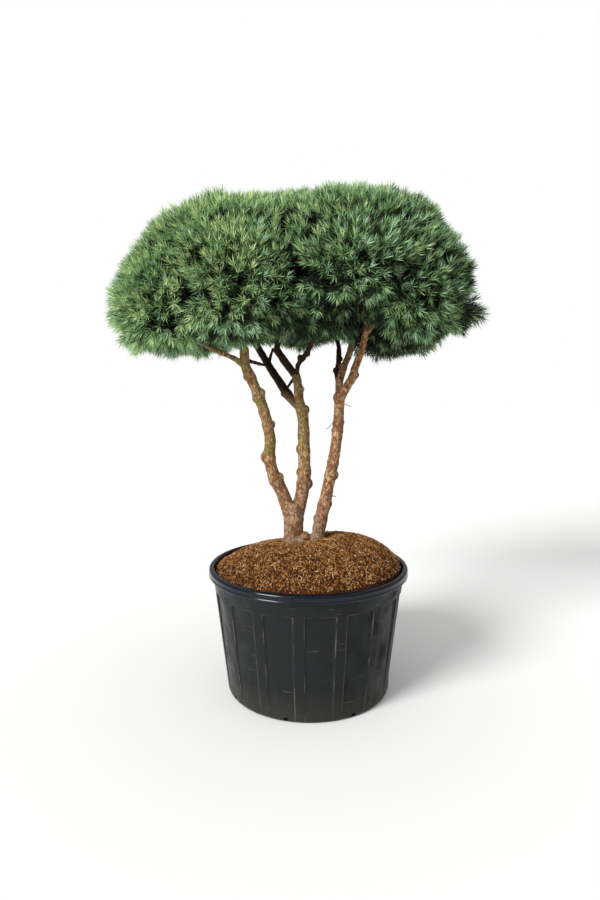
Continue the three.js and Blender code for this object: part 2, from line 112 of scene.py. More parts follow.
class Dressing:
    """A material in the making: its node tree, its shader and a socket of Object coordinates."""

    def __init__(self, name: str, **constants: Any) -> None:
        """Starts the material.

        Args:
            name: The finish's name.
            constants: Values for the shader's own sockets, with _ for a space in their names.
        """
        self.material = bpy.data.materials.new(name)
        self.material.use_nodes = True
        self.tree = self.material.node_tree
        self.shader = self.tree.nodes["Principled BSDF"]
        for key, value in constants.items():
            self.shader.inputs[key.replace("_", " ")].default_value = value

    def place(self) -> bpy.types.NodeSocket:
        """Returns a socket of Object coordinates."""
        return add_node(self.tree, "ShaderNodeTexCoord", out="Object")

    def feed(self, **sockets: bpy.types.NodeSocket) -> None:
        """Links sockets to the shader's inputs, with _ for a space in their names."""
        for key, socket in sockets.items():
            self.tree.links.new(socket, self.shader.inputs[key.replace("_", " ")])


def deselect() -> None:
    """Leaves edit mode and clears the selection."""
    if bpy.context.mode != "OBJECT":
        bpy.ops.object.mode_set(mode="OBJECT")
    bpy.ops.object.select_all(action="DESELECT")


def activate(piece: bpy.types.Object) -> None:
    """Makes one object the only selected one, and the active one."""
    deselect()
    piece.select_set(True)
    bpy.context.view_layer.objects.active = piece


def select_where(piece: bpy.types.Object, test: Callable[[Vector], bool]) -> None:
    """Selects the vertices of the mesh in edit mode whose place passes a test.

    Args:
        piece: The object in edit mode.
        test: Says for a vertex's place whether it is wanted.
    """
    mesh = bmesh.from_edit_mesh(piece.data)
    mesh.select_mode = {"VERT"}
    for vertex in mesh.verts:
        vertex.select = test(vertex.co)
    mesh.select_flush_mode()
    bmesh.update_edit_mesh(piece.data)


def apply_modifier(piece: bpy.types.Object, kind: str, **settings: Any) -> None:
    """Adds a modifier with its settings and applies it.

    Args:
        piece: The object to change.
        kind: Blender's name for the type of modifier.
        settings: Attributes of the modifier.
    """
    activate(piece)
    modifier = piece.modifiers.new(kind.title(), kind)
    for name, value in settings.items():
        setattr(modifier, name, value)
    bpy.ops.object.modifier_apply(modifier=modifier.name)


def join(pieces: Sequence[bpy.types.Object], name: str) -> bpy.types.Object:
    """Joins objects into the first of them and gives it a name.

    Args:
        pieces: The objects to join.
        name: Name of the joined piece.

    Returns:
        The joined piece, at the origin.
    """
    deselect()
    for piece in pieces:
        piece.select_set(True)
    bpy.context.view_layer.objects.active = pieces[0]
    bpy.ops.object.join()
    bpy.ops.object.transform_apply(location=True, rotation=True, scale=True)
    pieces[0].name = pieces[0].data.name = name
    return pieces[0]


def smooth(piece: bpy.types.Object, angle: float = 180.0) -> None:
    """Shades a piece smooth, apart from edges sharper than an angle in degrees."""
    activate(piece)
    bpy.ops.object.shade_smooth_by_angle(angle=math.radians(angle))


def turn_profile(name: str, profile: Sequence[tuple[float, float]], steps: int) -> bpy.types.Object:
    """Draws a profile point by point and spins it round the upright axis.

    Args:
        name: Name of the new piece.
        profile: (radius, height) points; the first and the last lie on the axis.
        steps: Number of steps in the full turn.

    Returns:
        The closed body.
    """
    deselect()
    bpy.ops.mesh.primitive_plane_add(size=0.01, location=(0, 0, 0))
    piece = bpy.context.object
    piece.name = piece.data.name = name
    bpy.ops.object.mode_set(mode="EDIT")
    bpy.ops.mesh.select_all(action="SELECT")
    bpy.ops.mesh.merge(type="CENTER")
    bpy.ops.transform.translate(value=(profile[0][0], 0, profile[0][1]))
    for (radius, height), (next_radius, next_height) in zip(profile, profile[1:]):
        step = (next_radius - radius, 0, next_height - height)
        bpy.ops.mesh.extrude_region_move(TRANSFORM_OT_translate={"value": step})
    bpy.ops.mesh.select_all(action="SELECT")
    bpy.ops.mesh.spin(steps=steps, angle=2 * math.pi, center=(0, 0, 0), axis=(0, 0, 1))
    bpy.ops.mesh.select_all(action="SELECT")
    bpy.ops.mesh.remove_doubles(threshold=1e-5)
    bpy.ops.mesh.normals_make_consistent(inside=False)
    bpy.ops.object.mode_set(mode="OBJECT")
    return piece


def mesh_from_arrays(name: str, points: np.ndarray, triangles: np.ndarray,
                     materials: Sequence[bpy.types.Material],
                     shades: np.ndarray | None = None) -> bpy.types.Object:
    """Joins many small things into one piece.

    Args:
        name: Name of the new piece.
        points: Vertices, one in each row.
        triangles: Three vertex numbers in each row.
        materials: The piece's materials.
        shades: For each triangle, which of the materials it wears; the first if left out.

    Returns:
        The new object.
    """
    count = len(triangles)
    mesh = bpy.data.meshes.new(name)
    mesh.vertices.add(len(points))
    mesh.vertices.foreach_set("co", points.astype(np.float32).ravel())
    mesh.loops.add(3 * count)
    mesh.loops.foreach_set("vertex_index", triangles.astype(np.int32).ravel())
    mesh.polygons.add(count)
    mesh.polygons.foreach_set("loop_start", np.arange(0, 3 * count, 3, dtype=np.int32))
    if shades is not None:
        mesh.polygons.foreach_set("material_index", shades.astype(np.int32))
    for material in materials:
        mesh.materials.append(material)
    mesh.update(calc_edges=True)
    piece = bpy.data.objects.new(name, mesh)
    bpy.context.scene.collection.objects.link(piece)
    return piece


def hand_over(piece: bpy.types.Object, nodes: Iterable[str] = ()) -> None:
    """Says what a finished piece rides on and stands for, and reports it.

    Args:
        piece: The finished piece, in place.
        nodes: The CAD nodes that it stands for.
    """
    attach(piece, "root")
    if nodes:
        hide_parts(*nodes)
    piece.data.calc_loop_triangles()
    log.info("%s: %d triangles", piece.name, len(piece.data.loop_triangles))


def unit(vectors: np.ndarray) -> np.ndarray:
    """Scales each row to length 1."""
    return vectors / np.maximum(np.linalg.norm(vectors, axis=-1, keepdims=True), 1e-9)


def square_to(directions: np.ndarray) -> tuple[np.ndarray, np.ndarray]:
    """Finds two directions square to each given one and to each other.

    Args:
        directions: Unit vectors, one in each row.

    Returns:
        The two directions for each of them.
    """
    aside = np.where(np.abs(directions[..., 2:]) > 0.95, np.array([1.0, 0.0, 0.0]), UP)
    across = unit(np.cross(aside, directions))
    return across, np.cross(directions, across)


class Tint(Enum):
    """Plain colours of Scots pine needles: two-year-old needles are deep green, and a waxy bloom on
    this year's turns them blue-green, or yellow-green where the sun strikes. The near-black one is painted
    shade deep in the crown."""

    FRESH = "D0E4A6"
    LEAF = "B4D394"
    BLOOM = "AACDA6"
    DEEP = "88AE78"
    DARK = "45623A"
    # painted shade: near black, for needles deep in the crown
    INSIDE = "161D11"
    WITHERED = "A08158"


class Fibre(Enum):
    """Plain colours of shredded conifer bark, from fresh pale bast to old dark bark."""

    STRAW = "EAC48E"
    TAN = "C68A4A"
    RUST = "A2632F"
    BROWN = "7A451F"
    DARK = "2A1408"


@dataclass(frozen=True)
class PlainFinish:
    """A plain finish for thousands of small things, each of which wears one colour."""

    roughness: float
    specular: float = 0.5

    def material(self, name: str, code: str) -> bpy.types.Material:
        """Builds the material of one colour."""
        return Dressing(name, Base_Color=linear(code), Roughness=self.roughness,
                        Specular_IOR_Level=self.specular).material


@dataclass(frozen=True)
class MouldedPolypropylene:
    """Black polypropylene, injection moulded: glossy blue black on the clean rim, dull olive grey on the
    wall, where handling and potting dust have scuffed it, with pale scratches that run round it. Pale lines
    on the rib edges and over the panels are partly scuffs and partly painted highlights."""

    clean: str = "0A0E1A"
    worn: str = "272927"
    dust: str = "5C5646"
    # pale scratches, and the same pale colour for the painted highlights on the rib edges
    scratch_and_highlight: str = "8C8778"
    rim_low: float = 0.535
    mottle: float = 0.09
    speck: float = 0.018
    grain: float = 0.004
    dust_height: float = 0.16
    ribs: int = 15
    rib_turn: float = -96.0
    rib_half_angle: float = 3.1
    ledge: float = 0.470

    def material(self) -> bpy.types.Material:
        """Builds the material."""
        dress = Dressing("moulded_polypropylene", IOR=1.49)
        tree, place = dress.tree, dress.place()
        height = add_node(tree, "ShaderNodeSeparateXYZ", inputs={0: place}, out="Z")
        below_rim = add_node(tree, "ShaderNodeMapRange", inputs={
            "Value": height, "From Min": self.rim_low, "From Max": self.rim_low - 0.012})
        mottle = add_node(tree, "ShaderNodeTexNoise", inputs={
            "Vector": place, "Scale": 1 / self.mottle, "Detail": 6.0, "Roughness": 0.62})
        patches = add_node(tree, "ShaderNodeMapRange", inputs={
            "Value": mottle, "From Min": 0.36, "From Max": 0.66, "To Min": 0.5})
        wear = add_node(tree, "ShaderNodeMath", {"operation": "MULTIPLY"}, {0: below_rim, 1: patches})
        base = add_node(tree, "ShaderNodeMix", {"data_type": "RGBA"}, {
            0: wear, 6: linear(self.clean), 7: linear(self.worn)}, out=2)
        near_ground = add_node(tree, "ShaderNodeMapRange", {"interpolation_type": "SMOOTHSTEP"}, {
            "Value": height, "From Min": self.dust_height, "From Max": 0.0, "To Max": 0.3})
        speckle = add_node(tree, "ShaderNodeTexNoise", inputs={
            "Vector": place, "Scale": 1 / self.speck, "Detail": 5.0, "Roughness": 0.7})
        dusty = add_node(tree, "ShaderNodeMath", {"operation": "MULTIPLY"}, {0: near_ground, 1: speckle})
        dusted = add_node(tree, "ShaderNodeMix", {"data_type": "RGBA"}, {
            0: dusty, 6: base, 7: linear(self.dust)}, out=2)
        flat = add_node(tree, "ShaderNodeMapping", inputs={"Vector": place, "Scale": (2.4, 2.4, 46.0)})
        streaks = add_node(tree, "ShaderNodeTexNoise", inputs={
            "Vector": flat, "Scale": 3.2, "Detail": 3.0, "Roughness": 0.55})
        thin = add_node(tree, "ShaderNodeMapRange", inputs={
            "Value": streaks, "From Min": 0.675, "From Max": 0.72, "To Max": 0.35})
        scratched = add_node(tree, "ShaderNodeMath", {"operation": "MULTIPLY"}, {0: thin, 1: wear})
        colour = add_node(tree, "ShaderNodeMix", {"data_type": "RGBA"}, {
            0: scratched, 6: dusted, 7: linear(self.scratch_and_highlight)}, out=2)
        # painted highlights and scuffs: pale lines on the rib edges and along the ledge over the panels
        rubbed_and_highlit = add_node(tree, "ShaderNodeMapRange", inputs={
            "Value": mottle, "From Min": 0.44, "From Max": 0.60, "To Max": 0.34})
        scuffed_and_highlit = add_node(tree, "ShaderNodeMath", {"operation": "MULTIPLY"}, {
            0: self.rib_edge_scuffs_and_highlights(tree, place, height, patches), 1: rubbed_and_highlit})
        colour = add_node(tree, "ShaderNodeMix", {"data_type": "RGBA"}, {
            0: scuffed_and_highlit, 6: colour, 7: linear(self.scratch_and_highlight)}, out=2)
        gloss = add_node(tree, "ShaderNodeMapRange", inputs={"Value": wear, "To Min": 0.17, "To Max": 0.42})
        shine = add_node(tree, "ShaderNodeMapRange", inputs={"Value": wear, "To Min": 0.32, "To Max": 0.01})
        skin = add_node(tree, "ShaderNodeTexNoise", inputs={
            "Vector": place, "Scale": 1 / self.grain, "Detail": 3.0})
        bump = add_node(tree, "ShaderNodeBump", inputs={"Height": skin, "Strength": 0.12, "Distance": 0.0006})
        dress.feed(Base_Color=colour, Roughness=gloss, Specular_IOR_Level=shine, Normal=bump)
        return dress.material

    def rib_edge_scuffs_and_highlights(self, tree: bpy.types.NodeTree, place: bpy.types.NodeSocket,
                  height: bpy.types.NodeSocket, patches: bpy.types.NodeSocket) -> bpy.types.NodeSocket:
        """Marks the edges of the ribs and the ledge over the panels, painted pale: partly scuffs from
        handling, partly painted highlights where these edges catch the light.

        Args:
            tree: The material's node tree.
            place: Object coordinates.
            height: Their Z.
            patches: How worn the wall is from place to place.

        Returns:
            A socket that is 0 away from the edges.
        """
        pitch = 2 * math.pi / self.ribs
        half = math.radians(self.rib_half_angle) / pitch
        whole_turns = 10  # keeps the count of ribs above 0 all the way round
        shift = 0.5 - math.radians(self.rib_turn) / pitch + whole_turns
        x = add_node(tree, "ShaderNodeSeparateXYZ", inputs={0: place}, out="X")
        y = add_node(tree, "ShaderNodeSeparateXYZ", inputs={0: place}, out="Y")
        bearing = add_node(tree, "ShaderNodeMath", {"operation": "ARCTAN2"}, {0: y, 1: x})
        turns = add_node(tree, "ShaderNodeMath", {"operation": "MULTIPLY_ADD"}, {
            0: bearing, 1: 1 / pitch, 2: shift})
        cycle = add_node(tree, "ShaderNodeMath", {"operation": "FRACT"}, {0: turns})
        off_middle = add_node(tree, "ShaderNodeMath", {"operation": "SUBTRACT"}, {0: cycle, 1: 0.5})
        from_rib = add_node(tree, "ShaderNodeMath", {"operation": "ABSOLUTE"}, {0: off_middle})
        past_edge = add_node(tree, "ShaderNodeMath", {"operation": "SUBTRACT"}, {0: from_rib, 1: half})
        from_edge = add_node(tree, "ShaderNodeMath", {"operation": "ABSOLUTE"}, {0: past_edge})
        edge = add_node(tree, "ShaderNodeMapRange", inputs={
            "Value": from_edge, "From Min": 0.016, "From Max": 0.006})
        below = add_node(tree, "ShaderNodeMath", {"operation": "LESS_THAN"}, {0: height, 1: self.ledge})
        upright = add_node(tree, "ShaderNodeMath", {"operation": "MULTIPLY"}, {0: edge, 1: below})
        over_ledge = add_node(tree, "ShaderNodeMath", {"operation": "SUBTRACT"}, {0: height, 1: self.ledge})
        from_ledge = add_node(tree, "ShaderNodeMath", {"operation": "ABSOLUTE"}, {0: over_ledge})
        level = add_node(tree, "ShaderNodeMapRange", inputs={
            "Value": from_ledge, "From Min": 0.005, "From Max": 0.002})
        on_panel = add_node(tree, "ShaderNodeMath", {"operation": "GREATER_THAN"}, {0: from_rib, 1: half})
        level = add_node(tree, "ShaderNodeMath", {"operation": "MULTIPLY"}, {0: level, 1: on_panel})
        scuff_and_highlight_marks = add_node(tree, "ShaderNodeMath", {"operation": "MAXIMUM"}, {0: upright, 1: level})
        return add_node(tree, "ShaderNodeMath", {"operation": "MULTIPLY"}, {0: scuff_and_highlight_marks, 1: patches})


@dataclass(frozen=True)
class PineBark:
    """Young Scots pine bark: thin papery flakes of orange tan and pinkish brown with dark edges, grey
    brown on the old foot of the trunks, and green with algae where the stems stay damp. Above a height it
    can be darkened with painted shade, for limbs that stand in the crown's shade."""

    name: str = "pine_bark"
    flakes: tuple[str, ...] = ("7A4E34", "A8784E", "C29C74", "9C8468", "8E623C")
    edge: str = "3E2A1C"
    foot: str = "948274"
    algae: str = "7C7A3A"
    algae_share: float = 1.0
    flake_size: float = 0.010
    wander: float = 0.03
    wander_reach: float = 0.018
    cloud: float = 0.05
    damp_patch: float = 0.085
    speck: float = 0.0025  # coarser than real pores, so that it shows
    foot_low: float = 0.66
    foot_high: float = 1.0
    algae_side: float = 0.03
    relief: float = 0.0016
    # painted shade: a tint multiplied into the bark above a height, white where there is none
    painted_shade_bark: str = "FFFFFF"
    painted_shade_low: float = 1.31
    painted_shade_high: float = 1.42

    def material(self) -> bpy.types.Material:
        """Builds the material."""
        dress = Dressing(self.name, Roughness=0.86, Specular_IOR_Level=0.25)
        tree, place = dress.tree, dress.place()
        wander = add_node(tree, "ShaderNodeTexNoise", inputs={
            "Vector": place, "Scale": 1 / self.wander, "Detail": 4.0}, out="Color")
        wander = add_node(tree, "ShaderNodeVectorMath", {"operation": "MULTIPLY_ADD"}, {
            0: wander, 1: (self.wander_reach,) * 3, 2: place})
        tall = add_node(tree, "ShaderNodeMapping", inputs={"Vector": wander, "Scale": (1.0, 1.0, 0.6)})
        cells = add_node(tree, "ShaderNodeTexVoronoi", inputs={
            "Vector": tall, "Scale": 1 / self.flake_size, "Randomness": 1.0}, out="Color")
        pick = add_node(tree, "ShaderNodeSeparateXYZ", inputs={0: cells}, out="X")
        stops = [((i + 0.5) / len(self.flakes), linear(code)) for i, code in enumerate(self.flakes)]
        flakes = add_node(tree, "ShaderNodeValToRGB", {"stops": stops}, {"Fac": pick})
        rims = add_node(tree, "ShaderNodeTexVoronoi", {"feature": "DISTANCE_TO_EDGE"}, {
            "Vector": tall, "Scale": 1 / self.flake_size, "Randomness": 1.0}, out="Distance")
        edges = add_node(tree, "ShaderNodeMapRange", inputs={
            "Value": rims, "From Min": 0.11, "From Max": 0.0, "To Max": 0.72})
        height = add_node(tree, "ShaderNodeSeparateXYZ", inputs={0: place}, out="Z")
        old = add_node(tree, "ShaderNodeMapRange", inputs={
            "Value": height, "From Min": self.foot_high, "From Max": self.foot_low, "To Max": 0.75})
        cloud = add_node(tree, "ShaderNodeTexNoise", inputs={
            "Vector": place, "Scale": 1 / self.cloud, "Detail": 5.0, "Roughness": 0.65})
        grey = add_node(tree, "ShaderNodeMapRange", inputs={
            "Value": cloud, "From Min": 0.42, "From Max": 0.6})
        old = add_node(tree, "ShaderNodeMath", {"operation": "MULTIPLY"}, {0: old, 1: grey})
        colour = add_node(tree, "ShaderNodeMix", {"data_type": "RGBA"}, {
            0: old, 6: flakes, 7: linear(self.foot)}, out=2)
        aside = add_node(tree, "ShaderNodeSeparateXYZ", inputs={0: place}, out="X")
        damp_side = add_node(tree, "ShaderNodeMapRange", inputs={
            "Value": aside, "From Min": self.algae_side, "From Max": self.algae_side - 0.03})
        damp_height = add_node(tree, "ShaderNodeMapRange", inputs={
            "Value": height, "From Min": 0.95, "From Max": 1.15, "To Max": self.algae_share})
        damp = add_node(tree, "ShaderNodeTexNoise", inputs={
            "Vector": place, "Scale": 1 / self.damp_patch, "Detail": 6.0, "Roughness": 0.7})
        damp = add_node(tree, "ShaderNodeMapRange", inputs={
            "Value": damp, "From Min": 0.42, "From Max": 0.58, "To Max": 0.75})
        damp = add_node(tree, "ShaderNodeMath", {"operation": "MULTIPLY"}, {0: damp, 1: damp_side})
        damp = add_node(tree, "ShaderNodeMath", {"operation": "MULTIPLY"}, {0: damp, 1: damp_height})
        colour = add_node(tree, "ShaderNodeMix", {"data_type": "RGBA"}, {
            0: damp, 6: colour, 7: linear(self.algae)}, out=2)
        colour = add_node(tree, "ShaderNodeMix", {"data_type": "RGBA"}, {
            0: edges, 6: colour, 7: linear(self.edge)}, out=2)
        fine = add_node(tree, "ShaderNodeTexNoise", inputs={
            "Vector": place, "Scale": 1 / self.speck, "Detail": 3.0})
        speckle = add_node(tree, "ShaderNodeMapRange", inputs={
            "Value": fine, "From Min": 0.3, "From Max": 0.7, "To Min": 0.6, "To Max": 1.3})
        colour = add_node(tree, "ShaderNodeVectorMath", {"operation": "SCALE"}, {0: colour, "Scale": speckle})
        # painted shade: above a height the bark's colour is multiplied by the darker tint
        painted_shade_mask = add_node(tree, "ShaderNodeMapRange", inputs={
            "Value": height, "From Min": self.painted_shade_low, "From Max": self.painted_shade_high})
        colour = add_node(tree, "ShaderNodeMix", {"data_type": "RGBA", "blend_type": "MULTIPLY"}, {
            0: painted_shade_mask, 6: colour, 7: linear(self.painted_shade_bark)}, out=2)
        plates = add_node(tree, "ShaderNodeMapRange", inputs={"Value": rims, "From Max": 0.2})
        plates = add_node(tree, "ShaderNodeMath", {"operation": "MULTIPLY_ADD"}, {
            0: fine, 1: 0.35, 2: plates})
        bump = add_node(tree, "ShaderNodeBump", inputs={
            "Height": plates, "Strength": 0.8, "Distance": self.relief})
        dress.feed(Base_Color=colour, Normal=bump)
        return dress.material


@dataclass(frozen=True)
class LooseGround:
    """Loose moist matter, milled fine: dark crumbs with paler bits between them."""

    name: str
    dark: str
    middle: str
    pale: str
    crumb: float

    def material(self) -> bpy.types.Material:
        """Builds the material."""
        dress = Dressing(self.name, Roughness=0.95, Specular_IOR_Level=0.15)
        tree, place = dress.tree, dress.place()
        crumbs = add_node(tree, "ShaderNodeTexNoise", inputs={
            "Vector": place, "Scale": 1 / self.crumb, "Detail": 8.0, "Roughness": 0.75})
        stops = [(0.32, linear(self.dark)), (0.52, linear(self.middle)), (0.7, linear(self.pale))]
        colour = add_node(tree, "ShaderNodeValToRGB", {"stops": stops}, {"Fac": crumbs})
        bump = add_node(tree, "ShaderNodeBump", inputs={"Height": crumbs, "Strength": 1.0, "Distance": 0.004})
        dress.feed(Base_Color=colour, Normal=bump)
        return dress.material


@dataclass
class Container:
    """The moulded container: ribs under a smooth collar, a rolled rim and drain holes at its corner."""

    height: float = 0.575
    foot_radius: float = 0.366
    wall_radius_low: float = 0.380
    draft: float = 0.138
    corner_height: float = 0.026
    rim_radius: float = 0.475
    rim_height: float = 0.038
    lip_width: float = 0.024
    rim_edge: float = 0.006
    rim_roll: float = 0.014
    rim_hollow: float = 0.0014
    wall: float = 0.0045
    floor: float = 0.006
    floor_inset: float = 0.018
    collar_low: float = 0.472
    rib_count: int = 15
    rib_half_angle: float = 3.0
    rib_turn: float = -96.0
    panel_depth: float = 0.006
    panel_press: float = 1.45
    panel_low: float = 0.057
    steps: int = 300
    drain_count: int = 8
    drain_radius: float = 0.013
    drain_turn: float = -105.0
    drain_slope: float = 36.0
    gate_turn: float = -98.8
    finish: MouldedPolypropylene = field(default_factory=MouldedPolypropylene)

    def nominal_radius(self, z: float) -> float:
        """The wall's outer radius on a rib at a height."""
        return self.wall_radius_low + self.draft * z

    def inner_radius(self, z: float) -> float:
        """The wall's inner radius at a height."""
        return self.nominal_radius(z) - self.panel_depth - self.wall

    def wall_heights(self) -> list[float]:
        """Heights of the rows of the ribbed wall, from the corner to the top of the panels."""
        rows = 7
        rise = self.collar_low - 0.004 - self.panel_low
        return [self.panel_low + rise * i / (rows - 1) for i in range(rows)]

    def profile(self) -> list[tuple[float, float]]:
        """The section from the middle of the underside, round the rim, to the middle of the floor."""
        swell = self.nominal_radius(self.corner_height) - self.foot_radius
        corner = [
            (self.foot_radius + swell * math.sin(turn), self.corner_height * (1 - math.cos(turn)))
            for turn in (math.pi / 2 * i / 5 for i in range(6))
        ]
        wall = [(self.nominal_radius(z), z) for z in (*self.wall_heights(), self.collar_low)]
        rim_low = self.height - self.rim_height
        band = self.rim_radius - self.rim_hollow
        lip = self.rim_radius - self.rim_roll
        rim = [
            (self.nominal_radius(rim_low) + 0.001, rim_low),
            (self.rim_radius - 0.002, rim_low),
            (self.rim_radius, rim_low + 0.0022),
            (self.rim_radius, rim_low + self.rim_edge),
            (band, rim_low + self.rim_edge + 0.003),
            (band, self.height - self.rim_roll - 0.004),
            (self.rim_radius, self.height - self.rim_roll - 0.001),
        ]
        rim += [
            (lip + self.rim_roll * math.cos(turn), self.height - self.rim_roll * (1 - math.sin(turn)))
            for turn in (math.pi / 2 * i / 7 for i in range(8))
        ]
        rim += [
            (self.rim_radius - self.lip_width + 0.003, self.height - 0.0004),
            (self.rim_radius - self.lip_width, self.height - 0.003),
            (self.inner_radius(rim_low), rim_low),
        ]
        inside = [
            (self.inner_radius(self.corner_height), self.corner_height),
            (self.inner_radius(0) - self.floor_inset, self.floor),
            (0.0, self.floor),
        ]
        return [(0.0, 0.0), *corner, *wall, *rim, *inside]

    def on_panel(self, place: Vector) -> bool:
        """True if a place lies between two ribs, seen from above."""
        pitch = 360 / self.rib_count
        turn = math.degrees(math.atan2(place.y, place.x)) - self.rib_turn
        return abs((turn + pitch / 2) % pitch - pitch / 2) > self.rib_half_angle + 0.1

    def press_panels(self, shell: bpy.types.Object) -> None:
        """Sets the panels between the ribs back, most at the top and less towards the ground.

        Args:
            shell: The container, in edit mode and all selected.
        """
        bpy.ops.transform.rotate(
            value=math.pi / self.steps, orient_axis="Z", center_override=(0, 0, 0))
        for z in self.wall_heights():
            radius = self.nominal_radius(z)
            fade = 0.45 + 0.55 * (z - self.panel_low) / (self.collar_low - self.panel_low)
            depth = self.panel_depth * self.panel_press * fade
            select_where(shell, lambda co: abs(co.z - z) < 1e-4 and math.hypot(co.x, co.y) > radius - 0.002
                         and self.on_panel(co))
            share = (radius - depth) / radius
            bpy.ops.transform.resize(value=(share, share, 1), center_override=(0, 0, 0))

    def raise_gate(self, shell: bpy.types.Object) -> None:
        """Leaves the small upright mark of the mould's gate on the rim.

        Args:
            shell: The container, in edit mode.
        """
        low, high = self.height - self.rim_height + self.rim_edge, self.height - 0.002
        select_where(shell, lambda co: low < co.z < high and math.hypot(co.x, co.y) > self.rim_radius - 0.003
                     and abs(math.degrees(math.atan2(co.y, co.x)) - self.gate_turn) < 0.7)
        bpy.ops.mesh.extrude_region_shrink_fatten(TRANSFORM_OT_shrink_fatten={"value": 0.0016})

    def drill_drains(self, shell: bpy.types.Object) -> None:
        """Cuts the drain holes aslant through the corner.

        Args:
            shell: The container, in object mode.
        """
        drills = []
        slope = math.radians(self.drain_slope)
        for hole in range(self.drain_count):
            turn = math.radians(self.drain_turn + 360 * hole / self.drain_count)
            outward = Vector((math.cos(turn), math.sin(turn), 0))
            axis = outward * math.cos(slope) + Vector((0, 0, -math.sin(slope)))
            middle = outward * (self.foot_radius + 0.009) + Vector((0, 0, self.corner_height * 0.5))
            bpy.ops.mesh.primitive_cylinder_add(
                vertices=28, radius=self.drain_radius, depth=0.04, location=middle,
                rotation=axis.to_track_quat("Z", "Y").to_euler())
            drills.append(bpy.context.object)
        drill = join(drills, "drills")
        apply_modifier(shell, "BOOLEAN", operation="DIFFERENCE", object=drill, solver="EXACT")
        bpy.data.objects.remove(drill)

    def build(self) -> None:
        """Makes the container and puts it in place of the CAD node."""
        shell = turn_profile("container", self.profile(), self.steps)
        activate(shell)
        bpy.ops.object.mode_set(mode="EDIT")
        bpy.ops.mesh.select_all(action="SELECT")
        self.press_panels(shell)
        self.raise_gate(shell)
        bpy.ops.object.mode_set(mode="OBJECT")
        self.drill_drains(shell)
        apply_modifier(shell, "BEVEL", width=0.0018, segments=2, limit_method="ANGLE",
                       angle_limit=math.radians(24))
        smooth(shell, 40)
        shell.data.materials.append(self.finish.material())
        hand_over(shell, ["pot"])


